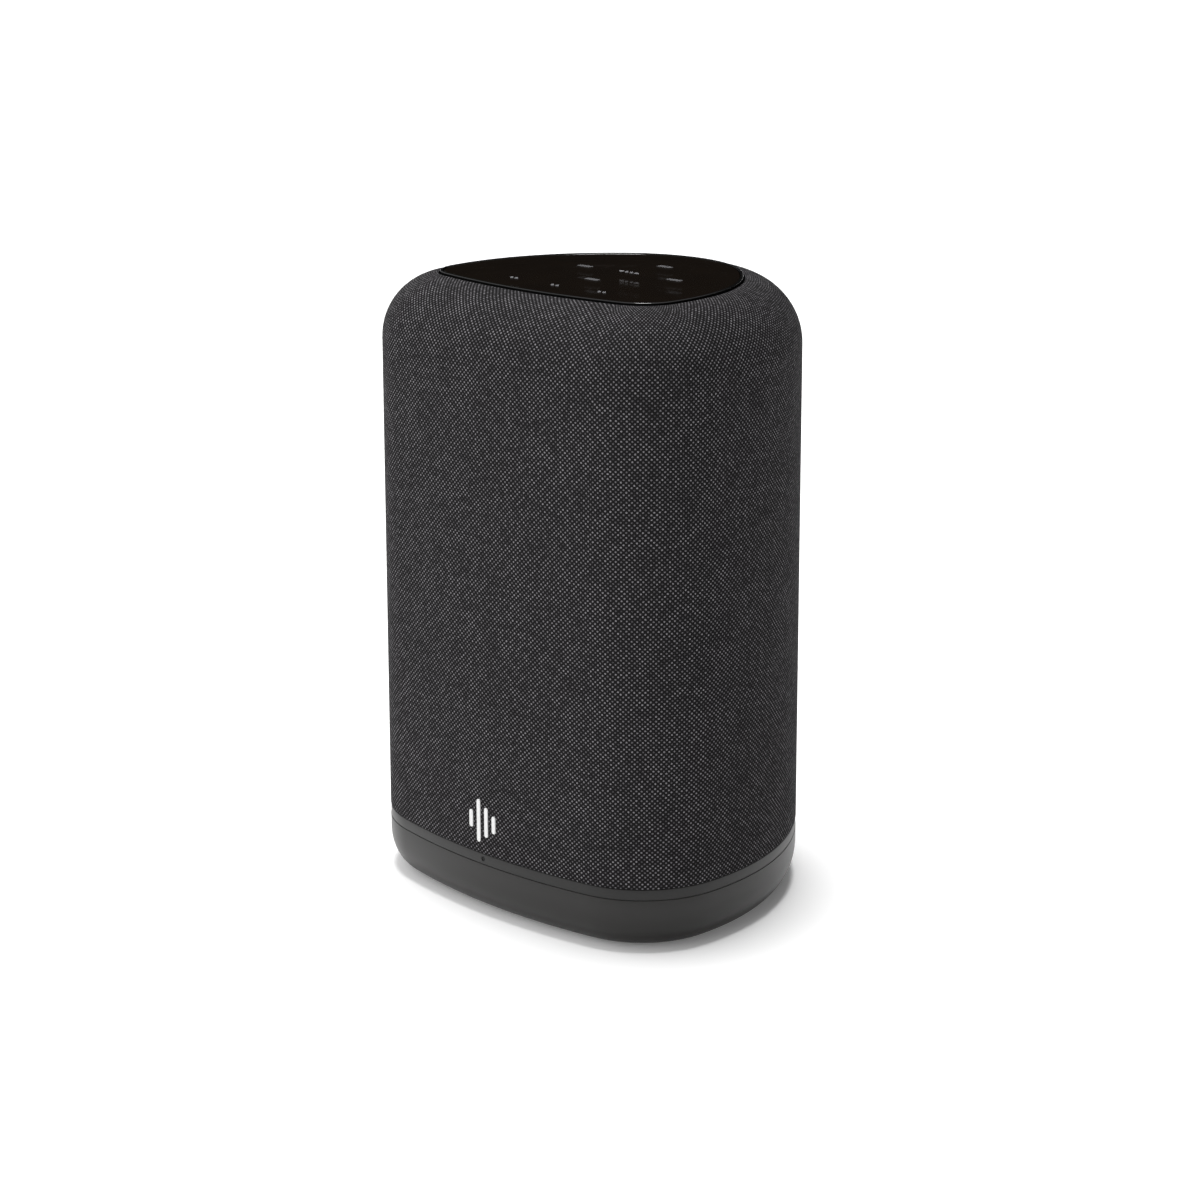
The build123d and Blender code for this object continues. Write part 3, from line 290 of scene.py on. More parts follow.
def new_material(name):
    """A new material, its node tree and its one Principled surface."""
    material = bpy.data.materials.new(name)
    material.use_nodes = True
    tree = material.node_tree
    return material, tree, tree.nodes["Principled BSDF"]


def noise(tree, size, detail=2.0, stretch=(1, 1, 1), roughness=0.5):
    """Noise in object space whose features are about size metres across."""
    place = add(tree, "TexCoord")
    mapping = add(tree, "Mapping", {"Vector": place.outputs["Object"], "Scale": stretch})
    vector = mapping.outputs["Vector"]
    settings = {"Vector": vector, "Scale": 1 / size, "Detail": detail, "Roughness": roughness}
    return add(tree, "TexNoise", settings).outputs["Fac"]


def plastic(name, shade, roughness, grain=0.25 * MM, depth=0.012 * MM, spread=0.08, specular=0.5):
    """Moulded plastic: an etched mould leaves a fine even grain and a slight change of gloss."""
    material, tree, surface = new_material(name)
    base = colour(shade)
    fine = noise(tree, grain, 3)
    broad = noise(tree, 18 * MM, 2)
    light = [min(1, c * (1 + spread)) for c in base[:3]] + [1]
    dark = [c * (1 - spread) for c in base[:3]] + [1]
    tint = add(tree, "Mix", {0: broad, 6: dark, 7: light}, data_type="RGBA")
    gloss = add(tree, "MapRange", {0: fine, 3: roughness * 0.92, 4: roughness * 1.08})
    bump = add(tree, "Bump", {"Height": fine, "Distance": depth, "Strength": 1.0})
    tree.links.new(tint.outputs[2], surface.inputs["Base Color"])
    tree.links.new(gloss.outputs[0], surface.inputs["Roughness"])
    tree.links.new(bump.outputs[0], surface.inputs["Normal"])
    surface.inputs["Specular IOR Level"].default_value = specular
    return material


def metal(name, shade, roughness, stretch=(1, 1, 1), size=0.3 * MM, depth=0.004 * MM):
    """Worked metal: cutting, rolling or plating leaves fine lines that spread the highlight."""
    material, tree, surface = new_material(name)
    lines = noise(tree, size, 4, stretch)
    base = colour(shade)
    dark = [c * 0.8 for c in base[:3]] + [1]
    tint = add(tree, "Mix", {0: lines, 6: dark, 7: base}, data_type="RGBA")
    gloss = add(tree, "MapRange", {0: lines, 3: roughness * 0.8, 4: roughness * 1.2})
    bump = add(tree, "Bump", {"Height": lines, "Distance": depth, "Strength": 1.0})
    tree.links.new(tint.outputs[2], surface.inputs["Base Color"])
    tree.links.new(gloss.outputs[0], surface.inputs["Roughness"])
    tree.links.new(bump.outputs[0], surface.inputs["Normal"])
    surface.inputs["Metallic"].default_value = 1.0
    return material


# ---- the object's own finishes --------------------------------------------------------------------

WARP_PITCH = 0.76  # millimetres between upright threads, as the cloth's map is in millimetres
WEFT_PITCH = 0.70  # millimetres between level threads
DARK_YARN = "#1b1a1b"
PALE_YARN = "#7d7b7e"
YARN_BUMP = 0.12 * MM
# strength of the painted glow on the light guides' tops, standing in for the light they reflect
GUIDE_PAINTED_GLOW = 2.4
GUIDE_PAINTED_SHADE_DEPTH = 1.1 * MM  # depth over which a light guide's painted glow and painted highlight give way to painted shade down its sides
TRACK_SPACING = 2.2 * MM  # between copper tracks, drawn coarse so that they show


def woven_polyester():
    """Plain-woven polyester speaker cloth: charcoal yarn with pale yarn floating over every second
    crossing, so the eye sees a fine slanting lattice of uneven grey dots on black."""
    material, tree, surface = new_material("woven_polyester")
    cloth = add(tree, "UVMap", uv_map="cloth")
    drift = noise(tree, 16 * MM, 2)
    shift = add(tree, "MapRange", {0: drift, 3: -0.5, 4: 0.5})
    spot = add(tree, "VectorMath", {0: cloth.outputs[0], 1: shift.outputs[0]}, operation="ADD")
    pitches = (1 / WARP_PITCH, 1 / WEFT_PITCH, 0)
    counted = add(tree, "VectorMath", {0: spot.outputs[0], 1: pitches}, operation="MULTIPLY")
    axes = add(tree, "SeparateXYZ", {0: counted.outputs[0]})
    across = add(tree, "Math", {0: axes.outputs[0], 1: math.pi}, operation="MULTIPLY")
    along = add(tree, "Math", {0: axes.outputs[1], 1: math.pi}, operation="MULTIPLY")
    wave_u = add(tree, "Math", {0: across.outputs[0]}, operation="SINE")
    wave_v = add(tree, "Math", {0: along.outputs[0]}, operation="SINE")
    weave = add(tree, "Math", {0: wave_u.outputs[0], 1: wave_v.outputs[0]}, operation="MULTIPLY")
    float_over = add(
        tree,
        "MapRange",
        {0: weave.outputs[0], 1: 0.1, 2: 0.9, 3: 0.0, 4: 1.0},
        interpolation_type="SMOOTHSTEP",
    )
    crossing = add(tree, "VectorMath", {0: counted.outputs[0]}, operation="FLOOR")
    chance = add(tree, "TexWhiteNoise", {"Vector": crossing.outputs[0]}, noise_dimensions="2D")
    each = add(tree, "MapRange", {0: chance.outputs["Value"], 3: 0.35, 4: 1.15})
    thread = add(tree, "TexNoise", {"Vector": crossing.outputs[0], "Scale": 0.37, "Detail": 2.0})
    slub = add(tree, "MapRange", {0: thread.outputs["Fac"], 1: 0.3, 2: 0.7, 3: 0.6, 4: 1.25})
    patch = add(tree, "MapRange", {0: noise(tree, 9 * MM, 3), 1: 0.3, 2: 0.7, 3: 0.8, 4: 1.15})
    uneven = add(tree, "Math", {0: each.outputs[0], 1: slub.outputs[0]}, operation="MULTIPLY")
    uneven = add(tree, "Math", {0: uneven.outputs[0], 1: patch.outputs[0]}, operation="MULTIPLY")
    pale = add(tree, "Math", {0: float_over.outputs[0], 1: uneven.outputs[0]}, operation="MULTIPLY")
    tint = add(
        tree,
        "Mix",
        {0: pale.outputs[0], 6: colour(DARK_YARN), 7: colour(PALE_YARN)},
        data_type="RGBA",
    )
    pillow = add(tree, "Math", {0: weave.outputs[0]}, operation="ABSOLUTE")
    height = add(tree, "Math", {0: pillow.outputs[0], 1: 0.5}, operation="POWER")
    bump = add(tree, "Bump", {"Height": height.outputs[0], "Distance": YARN_BUMP, "Strength": 0.6})
    tree.links.new(tint.outputs[2], surface.inputs["Base Color"])
    tree.links.new(bump.outputs[0], surface.inputs["Normal"])
    surface.inputs["Roughness"].default_value = 0.85
    surface.inputs["Specular IOR Level"].default_value = 0.04
    return material


def smoked_acrylic():
    """Polished smoked acrylic: nearly black, with what lies just under it showing dimly."""
    material, tree, surface = new_material("smoked_acrylic")
    streak = noise(tree, 9 * MM, 2)
    gloss = add(tree, "MapRange", {0: streak, 3: 0.05, 4: 0.09})
    tint = add(tree, "Mix", {0: streak, 6: colour("#0e0804"), 7: colour("#150e07")}, data_type="RGBA")
    tree.links.new(gloss.outputs[0], surface.inputs["Roughness"])
    tree.links.new(tint.outputs[2], surface.inputs["Base Color"])
    surface.inputs["IOR"].default_value = 1.49
    surface.inputs["Specular IOR Level"].default_value = 0.35
    surface.inputs["Alpha"].default_value = 0.86
    return material


def edge_polished():
    """Black plastic rim: matt down its side, so the groove beside it stays dark, and polished on top,
    where it draws one thin bright line round the panel."""
    material = plastic("edge_polished_abs", "#050505", 0.5, 0.2 * MM, 0.001 * MM)
    tree = material.node_tree
    surface = tree.nodes["Principled BSDF"]
    place = add(tree, "TexCoord")
    axes = add(tree, "SeparateXYZ", {0: place.outputs["Object"]})
    levels = {0: axes.outputs[2], 1: RIM_TOP - 0.26 * MM, 2: RIM_TOP - 0.14 * MM}
    gloss = add(tree, "MapRange", {**levels, 3: 0.6, 4: 0.14})
    shine = add(tree, "MapRange", {**levels, 3: 0.02, 4: 0.7})
    tree.links.new(gloss.outputs[0], surface.inputs["Roughness"])
    tree.links.new(shine.outputs[0], surface.inputs["Specular IOR Level"])
    return material


def circuit_laminate():
    """Glass-epoxy board under dark solder mask, with the copper tracks showing as a faint pattern."""
    material, tree, surface = new_material("circuit_laminate")
    place = add(tree, "TexCoord")
    tracks = add(
        tree,
        "TexVoronoi",
        {"Vector": place.outputs["Object"], "Scale": 1 / TRACK_SPACING},
        feature="DISTANCE_TO_EDGE",
        distance="MANHATTAN",
    )
    line = add(tree, "MapRange", {0: tracks.outputs["Distance"], 1: 0.05, 2: 0.12, 3: 1.0, 4: 0.0})
    tint = add(
        tree, "Mix", {0: line.outputs[0], 6: colour("#06150d"), 7: colour("#1b4a2c")}, data_type="RGBA"
    )
    bump = add(tree, "Bump", {"Height": line.outputs[0], "Distance": 0.03 * MM, "Strength": 0.6})
    tree.links.new(tint.outputs[2], surface.inputs["Base Color"])
    tree.links.new(bump.outputs[0], surface.inputs["Normal"])
    surface.inputs["Roughness"].default_value = 0.35
    return material


def guide_with_painted_glow():
    """Frosted acrylic light guide with painted light: a painted glow on its top face stands in for the
    light it reflects, and painted shade darkens its sides to black below it.
    """
    material, tree, surface = new_material("frosted_acrylic_painted_glow")
    cloud = noise(tree, 0.8 * MM, 2)
    place = add(tree, "TexCoord")
    axes = add(tree, "SeparateXYZ", {0: place.outputs["Object"]})
    # Painted shade: the guide's colour and glow fall away to black down its sides.
    painted_shade_ramp = add(
        tree, "MapRange", {0: axes.outputs[2], 1: GUIDE_TOP - GUIDE_PAINTED_SHADE_DEPTH, 2: GUIDE_TOP, 3: 0.0, 4: 1.0}
    )
    painted_shade_curve = add(tree, "Math", {0: painted_shade_ramp.outputs[0], 1: 2.0}, operation="POWER")
    clouded = add(tree, "MapRange", {0: cloud, 3: 0.8, 4: 1.1})
    painted_glow = add(tree, "Math", {0: painted_shade_curve.outputs[0], 1: clouded.outputs[0]}, operation="MULTIPLY")
    # Painted glow: emission that stands in for the light the guide's top reflects, though no lamp is lit.
    strength = add(tree, "Math", {0: painted_glow.outputs[0], 1: GUIDE_PAINTED_GLOW}, operation="MULTIPLY")
    tint = add(
        tree, "Mix", {0: painted_shade_curve.outputs[0], 6: colour("#060606"), 7: colour("#8c8b8a")}, data_type="RGBA"
    )
    tree.links.new(tint.outputs[2], surface.inputs["Base Color"])
    tree.links.new(strength.outputs[0], surface.inputs["Emission Strength"])
    surface.inputs["Roughness"].default_value = 0.4
    surface.inputs["Emission Color"].default_value = colour("#dcdde2")
    return material


def smoked_lens():
    """Dark polycarbonate lens over a lamp that is off: a small glossy dot."""
    return plastic("smoked_polycarbonate", "#030303", 0.3, 0.4 * MM, 0.001 * MM, 0.05, 0.15)


def stretched_film(name, shade, roughness):
    """Thin coated film or rubber skin with a soft, slightly uneven sheen."""
    return plastic(name, shade, roughness, grain=0.6 * MM, depth=0.006 * MM, spread=0.12)


def ferrite():
    """Ground sintered ferrite: dark grey with pits."""
    return plastic("sintered_ferrite", "#2c2c2e", 0.7, grain=0.5 * MM, depth=0.03 * MM, spread=0.25)


def enamelled_copper():
    """Close turns of enamelled copper wire seen as fine ribs."""
    return metal("enamelled_copper", "#b5623a", 0.3, (1, 6, 1), 1.2 * MM, 0.03 * MM)


FINISHES = {
    "fabric": woven_polyester,
    # Moulded ABS: black with an even, half-matt grain.
    "black_plastic": lambda: plastic("black_abs", "#161616", 0.5, 0.3 * MM, 0.01 * MM),
    # Finely etched ABS: warm charcoal that carries one soft highlight along its curve.
    "base_plastic": lambda: plastic("charcoal_abs", "#12100e", 0.38, 0.22 * MM, 0.006 * MM, 0.1, 0.42),
    "smoked_panel": smoked_acrylic,
    "panel_rim": edge_polished,
    "light_guide": guide_with_painted_glow,
    # Pad-printed ink: flat off-white bars with no gloss of their own.
    "badge_white": lambda: plastic("white_pad_print", "#dcdcdc", 0.5, 0.3 * MM, 0.004 * MM, 0.03),
    # Moulded silicone rubber: dull, with a coarse skin that kills the highlight.
    "foot_rubber": lambda: plastic("moulded_rubber", "#1a1a1a", 0.85, 0.5 * MM, 0.03 * MM, 0.15, 0.3),
    # Brass turned on a lathe: yellow, with fine rings that draw the highlight out.
    "brass": lambda: metal("turned_brass", "#c9a15a", 0.28, (1, 1, 8)),
    # Black zinc plate: dark metal with a broken, greyish glint.
    "screw_steel": lambda: metal("black_zinc_steel", "#4a4a4d", 0.38),
    # Zinc-plated mild steel: pale grey with a cloudy sheen.
    "soft_steel": lambda: metal("zinc_plated_steel", "#a7a9ab", 0.35),
    "ferrite": ferrite,
    # Glass-filled ABS: matt dark grey, mottled where the fibres reach the skin.
    "cabinet_plastic": lambda: plastic("glass_filled_abs", "#1e1e20", 0.6, 0.4 * MM, 0.02 * MM, 0.1),
    # Open foam rubber: black and pitted, with no highlight at all.
    "foam_rubber": lambda: plastic("foam_rubber", "#202020", 0.95, 0.9 * MM, 0.12 * MM, 0.2, 0.2),
    # Powder-coated steel: black, with a slight orange-peel sheen.
    "basket_steel": lambda: plastic("powder_coated_steel", "#151516", 0.55, 0.35 * MM, 0.02 * MM),
    # Pressed paper pulp: dead matt, with felted fibres in relief.
    "cone_pulp": lambda: plastic("pressed_paper_pulp", "#242324", 0.9, 0.7 * MM, 0.06 * MM, 0.2, 0.2),
    # Butyl rubber: a smooth black skin whose roll catches a soft line of light.
    "surround_rubber": lambda: stretched_film("butyl_rubber", "#111111", 0.5),
    # Cotton stiffened with resin: amber cloth with a rough, dry face.
    "spider_cloth": lambda: plastic("resin_stiffened_cotton", "#a5843c", 0.9, 0.6 * MM, 0.08 * MM, 0.2),
    "copper": enamelled_copper,
    # Doped silk: a thin dark skin with a faint uneven sheen.
    "dome_silk": lambda: stretched_film("doped_silk", "#171718", 0.45),
    "circuit_board": circuit_laminate,
    # Moulded epoxy: flat black with a very fine grain.
    "chip_black": lambda: plastic("epoxy_moulding", "#131314", 0.6, 0.2 * MM, 0.008 * MM),
    # Extruded aluminium: bright, with long lines along the draw.
    "aluminium": lambda: metal("extruded_aluminium", "#c4c6c8", 0.3, (1, 1, 0.1)),
    # Shrunk PVC sleeve: blue-black film with a glossy, slightly wavy face.
    "capacitor_sleeve": lambda: stretched_film("shrunk_pvc_sleeve", "#15182a", 0.3),
    # Nickel-plated steel: pale, close to a mirror, softened by fine lines.
    "port_steel": lambda: metal("nickel_plated_steel", "#b9babb", 0.22),
    # PVC insulation: black and slightly waxy.
    "lead_jacket": lambda: stretched_film("pvc_insulation", "#191919", 0.45),
    # Polyimide film: clear orange-brown with a glossy face.
    "ribbon_film": lambda: stretched_film("polyimide_film", "#a8651f", 0.3),
}

slot_of = {row["node"]: row["material_slot"] for row in frame["record"]["subparts"]}
finishes = {slot: make() for slot, make in FINISHES.items()}
for node, piece in frame["nodes"].items():
    piece.data.materials.clear()
    piece.data.materials.append(finishes[slot_of[node]])
frame["nodes"]["status_lens"].data.materials[0] = smoked_lens()
# Charcoal ABS for the band, a little rougher than the pan's; its darker colour is painted shade, so the
# band reads a shade flatter than the pan under it.
band_plastic_painted_shade = plastic("charcoal_abs_painted_shade", "#100f0e", 0.42, 0.22 * MM, 0.006 * MM, 0.08, 0.4)

# ---- fabric sleeve --------------------------------------------------------------------------------

SEAM_REACH = 2.2 * MM
SEAM_DEPTH = 0.45 * MM
SEAM_WIDTH = 0.9 * MM
HEM_ROUND = 0.35 * MM
OPENING_INSET = FRAME_INSET - 1.0 * MM
CONNECTOR_WIDTH, CONNECTOR_HEIGHT, CONNECTOR_CORNER = 62.4 * MM, 40.4 * MM, 6.2 * MM


def leaning(height):
    """How far the wall has leant in by a height."""
    return (height - RING_TOP) * LEAN


def sleeve_profile():
    """Closed section of the sleeve: up the outside, over the shoulder, and back down the inside."""
    turn_height = FABRIC_TOP - SHOULDER
    middle = leaning(turn_height) + SHOULDER
    outside = arc_profile(HEM_ROUND, RING_TOP + HEM_ROUND, HEM_ROUND, -90, 0, 3)
    for i in range(1, 16):
        height = RING_TOP + HEM_ROUND + (turn_height - RING_TOP - HEM_ROUND) * i / 16
        outside.append((leaning(height), height))
    reach = math.degrees(math.acos((middle - OPENING_INSET) / SHOULDER))
    outside += arc_profile(middle, turn_height, SHOULDER, 0, reach, 20)
    top = outside[-1]
    tuck = [(top[0] + 0.35 * MM, top[1] - 0.15 * MM), (top[0] + 0.5 * MM, top[1] - 0.6 * MM)]
    tuck.append((top[0] + 0.3 * MM, top[1] - 1.1 * MM))
    inside = []
    for inset, height in reversed(arc_profile(middle, turn_height, SHOULDER - CLOTH, 0, reach, 10)):
        inside.append((inset, height))
    inside.append((CLOTH, RING_TOP))
    return outside + tuck + inside


def sleeve_stations():
    """Even columns all round, with close ones beside the sewn seam at the back."""
    plain = [s for s in even_stations(360) if HALF_ROUND - abs(s) > SEAM_REACH]
    close = [HALF_ROUND - SEAM_REACH * i / 8 for i in range(9)]
    return sorted(plain + close[1:] + [-s for s in close])


def fabric_sleeve():
    """One stretched sleeve, drawn in along its seam and cut out for the connectors."""
    mesh = swept_mesh("fabric_sleeve", sleeve_profile(), sleeve_stations(), cloth_map=True)
    for vertex in mesh.vertices:
        if vertex.co.y > 0 and vertex.co.z > RING_TOP + 1 * MM:
            away = abs(vertex.co.x) / SEAM_WIDTH
            vertex.co.y -= SEAM_DEPTH * math.exp(-away * away)
    opening = bmesh.new()
    centre = (0, (TUB_LOW.z + TUB_HIGH.z) / 2)
    points = rounded_rectangle(centre, CONNECTOR_WIDTH, CONNECTOR_HEIGHT, CONNECTOR_CORNER)
    prism_into(opening, points, 30 * MM, 70 * MM, "y")
    mesh = carved(mesh, opening, "DIFFERENCE")
    piece = finish_mesh("fabric_sleeve", mesh, finishes["fabric"], sharp=50)
    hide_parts("fabric_cover")


fabric_sleeve()

# ---- sewn seam at the back ------------------------------------------------------------------------

STITCH_STEP = 2.4 * MM
STITCH_LONG = 1.7 * MM
THREAD_RADIUS = 0.17 * MM
STITCH_ASIDE = 1.5 * MM


def sewing_thread():
    """Twisted polyester thread: dark, with the faint slanting ridges of its ply."""
    material, tree, surface = new_material("sewing_thread")
    ply = noise(tree, 0.35 * MM, 2, (1, 1, 0.5))
    tint = add(tree, "Mix", {0: ply, 6: colour("#0c0c0d"), 7: colour("#323234")}, data_type="RGBA")
    bump = add(tree, "Bump", {"Height": ply, "Distance": 0.03 * MM, "Strength": 0.8})
    tree.links.new(tint.outputs[2], surface.inputs["Base Color"])
    tree.links.new(bump.outputs[0], surface.inputs["Normal"])
    surface.inputs["Roughness"].default_value = 0.7
    return material


def stitch_nodes():
    """One rounded stitch on every point, lying along that point's run."""
    group = bpy.data.node_groups.new("sewn_stitches", "GeometryNodeTree")
    face = group.interface
    face.new_socket("Points", in_out="INPUT", socket_type="NodeSocketGeometry")
    face.new_socket("Stitch size", in_out="INPUT", socket_type="NodeSocketVector")
    face.new_socket("Thread", in_out="INPUT", socket_type="NodeSocketMaterial")
    face.new_socket("Stitches", in_out="OUTPUT", socket_type="NodeSocketGeometry")
    given = group.nodes.new("NodeGroupInput")
    result = group.nodes.new("NodeGroupOutput")
    bead = group.nodes.new("GeometryNodeMeshUVSphere")
    bead.inputs["Segments"].default_value = 10
    bead.inputs["Rings"].default_value = 8
    bead.inputs["Radius"].default_value = 1.0
    run = group.nodes.new("GeometryNodeInputNamedAttribute")
    run.data_type = "FLOAT_VECTOR"
    run.inputs["Name"].default_value = "run"
    turn = group.nodes.new("FunctionNodeAlignRotationToVector")
    turn.axis = "Z"
    dots = group.nodes.new("GeometryNodeMeshToPoints")
    place = group.nodes.new("GeometryNodeInstanceOnPoints")
    real = group.nodes.new("GeometryNodeRealizeInstances")
    paint = group.nodes.new("GeometryNodeSetMaterial")
    join = group.links.new
    join(given.outputs["Points"], dots.inputs["Mesh"])
    join(dots.outputs["Points"], place.inputs["Points"])
    join(bead.outputs["Mesh"], place.inputs["Instance"])
    join(run.outputs["Attribute"], turn.inputs["Vector"])
    join(turn.outputs["Rotation"], place.inputs["Rotation"])
    join(given.outputs["Stitch size"], place.inputs["Scale"])
    join(place.outputs["Instances"], real.inputs["Geometry"])
    join(real.outputs["Geometry"], paint.inputs["Geometry"])
    join(given.outputs["Thread"], paint.inputs["Material"])
    join(paint.outputs["Geometry"], result.inputs["Stitches"])
    return group


def seam_path():
    """Inset, height and slope angle of the seam at every stitch, from the opening up to the rim."""
    turn_height = FABRIC_TOP - SHOULDER
    middle = leaning(turn_height) + SHOULDER
    reach = math.acos((middle - OPENING_INSET) / SHOULDER)
    straight = turn_height - TUB_HIGH.z
    path = []
    for i in range(1, int((straight + SHOULDER * reach) / STITCH_STEP)):
        along = i * STITCH_STEP
        if along < straight:
            height = TUB_HIGH.z + along
            path.append((leaning(height), height, 0.0))
        else:
            angle = (along - straight) / SHOULDER
            inset = middle - SHOULDER * math.cos(angle)
            path.append((inset, turn_height + SHOULDER * math.sin(angle), angle))
    return path


def seam_stitches():
    """Two rows of stitches, one on each side of the seam."""
    points, runs = [], []
    for side in (-STITCH_ASIDE, STITCH_ASIDE):
        for inset, height, angle in seam_path():
            points.append((side, DEPTH / 2 - inset, height))
            runs.append((0, -math.sin(angle), math.cos(angle)))
    mesh = bpy.data.meshes.new("seam_points")
    mesh.from_pydata(points, [], [])
    run = mesh.attributes.new("run", "FLOAT_VECTOR", "POINT")
    run.data.foreach_set("vector", [value for each in runs for value in each])
    holder = bpy.data.objects.new("seam_points", mesh)
    bpy.context.scene.collection.objects.link(holder)
    modifier = holder.modifiers.new("stitches", "NODES")
    modifier.node_group = stitch_nodes()
    values = {"Stitch size": (THREAD_RADIUS, THREAD_RADIUS, STITCH_LONG / 2), "Thread": sewing_thread()}
    for item in modifier.node_group.interface.items_tree:
        if item.name in values:
            modifier[item.identifier] = values[item.name]
    bpy.context.view_layer.update()
    graph = bpy.context.evaluated_depsgraph_get()
    result = bpy.data.meshes.new_from_object(holder.evaluated_get(graph))
    bpy.data.objects.remove(holder)
    piece = finish_mesh("seam_stitches", result, None)


seam_stitches()

# ---- base -----------------------------------------------------------------------------------------

POSTS = [(x * MM, y * MM) for x in (-38, 38) for y in (-26, 6)]
POST_RADIUS, POST_TOP = 4 * MM, 20 * MM
SCREW_HEAD_RADIUS, SCREW_HEAD_TOP = 3 * MM, 3.9 * MM
SCREW_BORE_RADIUS = 1.55 * MM
BOSS_RADIUS, BOSS_TOP = 6.5 * MM, 15 * MM
INSERT_RADIUS, INSERT_TOP = 4.5 * MM, 12.6 * MM
PAN_FLOOR = 3.6 * MM
PAN_LIP_ROUND = 0.12 * MM
RING_INSET, RING_SHELF, RING_TONGUE = 0.1 * MM, 4.2 * MM, 2.6 * MM
RING_EDGE, RING_FOOT_ROUND = 0.3 * MM, 0.1 * MM
SEAM_GAP = 0.07 * MM
LENS_HEIGHT, LENS_RADIUS = 17.7 * MM, 0.75 * MM


def base_pan():
    """Moulded pan with an undercut foot, screw posts and the boss of the threaded insert."""
    profile = [(PAD_INSET, PAD_TOP), (PAD_INSET, PAN_BOTTOM + 0.2 * MM)]
    profile += [(PAD_INSET - 0.2 * MM, PAN_BOTTOM), (PAN_TUCK + 0.5 * MM, PAN_BOTTOM)]
    for i in range(19):
        angle = math.radians(90 * i / 18)
        inset = PAN_TUCK * (1 - math.sin(angle))
        profile.append((inset, PAN_BOTTOM + PAN_RISE * (1 - math.cos(angle))))
    profile += arc_profile(PAN_LIP_ROUND, PAN_TOP - PAN_LIP_ROUND, PAN_LIP_ROUND, 0, 90, 3)
    profile += [(PAN_WALL, PAN_TOP)]
    inner = PAN_ROUND - PAN_WALL
    profile += reversed(arc_profile(PAN_ROUND, PAN_FLOOR + inner, inner, -90, 0, 8))
    mesh = swept_mesh("base_pan_shell", profile, even_stations(300), closed=False)
    posts = bmesh.new()
    for centre in POSTS:
        prism_into(posts, circle(centre, POST_RADIUS), 3 * MM, POST_TOP)
    prism_into(posts, circle((0, 0), BOSS_RADIUS), 3 * MM, BOSS_TOP)
    mesh = carved(mesh, posts, "UNION")
    holes = bmesh.new()
    for centre in POSTS:
        prism_into(holes, circle(centre, SCREW_HEAD_RADIUS), 0, SCREW_HEAD_TOP)
    prism_into(holes, circle((0, 0), INSERT_RADIUS), 0, INSERT_TOP)
    mesh = carved(mesh, holes, "DIFFERENCE")
    bores = bmesh.new()
    for centre in POSTS:
        prism_into(bores, circle(centre, SCREW_BORE_RADIUS), 3 * MM, POST_TOP + 5 * MM)
    mesh = carved(mesh, bores, "DIFFERENCE")
    piece = finish_mesh("base_pan_shell", mesh, finishes["base_plastic"])
    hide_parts("base_pan")


def base_ring():
    """Band between the pan and the cloth, with a fine open seam under it and the lens's hole."""
    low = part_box("base_ring")[0].z
    seam = PAN_TOP + SEAM_GAP
    fine, edge = RING_FOOT_ROUND, RING_EDGE
    profile = arc_profile(RING_INSET + fine, seam + fine, fine, -90, 0, 3)
    profile += arc_profile(RING_INSET + edge, RING_TOP - edge, edge, 0, 90, 4)
    profile += [(RING_SHELF, RING_TOP), (RING_SHELF, low), (RING_TONGUE, low), (RING_TONGUE, seam)]
    mesh = swept_mesh("base_ring_band", profile, even_stations(300))
    hole = bmesh.new()
    prism_into(hole, circle((0, LENS_HEIGHT), LENS_RADIUS), -60 * MM, -50 * MM, "y")
    mesh = carved(mesh, hole, "DIFFERENCE")
    # The band's plastic is darker than the pan's as painted shade.
    piece = finish_mesh("base_ring_band", mesh, band_plastic_painted_shade)
    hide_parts("base_ring")


base_pan()
base_ring()

# ---- rim of the top panel -------------------------------------------------------------------------


RIM_WIDTH = 0.8 * MM
RIM_ROUND, RIM_BREAK = 0.28 * MM, 0.1 * MM
FRAME_WALL_INSET = 20.5 * MM
FLANGE_INSET, FLANGE_LOW, FLANGE_HIGH = 15.4 * MM, 176.8 * MM, 178.8 * MM
FRAME_FLOOR_INSET, FRAME_FLOOR_LOW, FRAME_FLOOR_HIGH = 20.2 * MM, 172 * MM, 174 * MM
FRAME_POSTS = ((-26, -12), (26, -12), (-22, 18), (22, 18))
FRAME_POST_RADIUS, FRAME_POST_LOW = 3.5 * MM, 162 * MM


def panel_rim():
    """Frame of the top panel: a thin raised rim, a flange under the cloth, a floor and four posts."""
    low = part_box("panel_frame")[0].z + 10 * MM
    inner = FRAME_INSET + RIM_WIDTH
    profile = [(FRAME_WALL_INSET, low), (FRAME_INSET, low)]
    profile += [(FRAME_INSET, FLANGE_LOW), (FLANGE_INSET, FLANGE_LOW), (FLANGE_INSET, FLANGE_HIGH)]
    profile += [(FRAME_INSET, FLANGE_HIGH)]
    profile += arc_profile(FRAME_INSET + RIM_ROUND, RIM_TOP - RIM_ROUND, RIM_ROUND, 0, 90, 5)
    profile += [(inner - RIM_BREAK, RIM_TOP), (inner, RIM_TOP - RIM_BREAK), (inner, LEDGE)]
    profile += [(FRAME_WALL_INSET, LEDGE)]
    mesh = swept_mesh("panel_rim", profile, even_stations(300))
    floor = bmesh.new()
    points = [tuple(outline_point(s, FRAME_FLOOR_INSET)) for s in even_stations(120)]
    prism_into(floor, points, FRAME_FLOOR_LOW, FRAME_FLOOR_HIGH)
    for x, y in FRAME_POSTS:
        centre = (x * MM, y * MM)
        prism_into(floor, circle(centre, FRAME_POST_RADIUS), FRAME_POST_LOW, FRAME_FLOOR_HIGH - 1 * MM)
    mesh = carved(mesh, floor, "UNION")
    piece = finish_mesh("panel_rim", mesh, finishes["panel_rim"])
    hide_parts("panel_frame")


panel_rim()

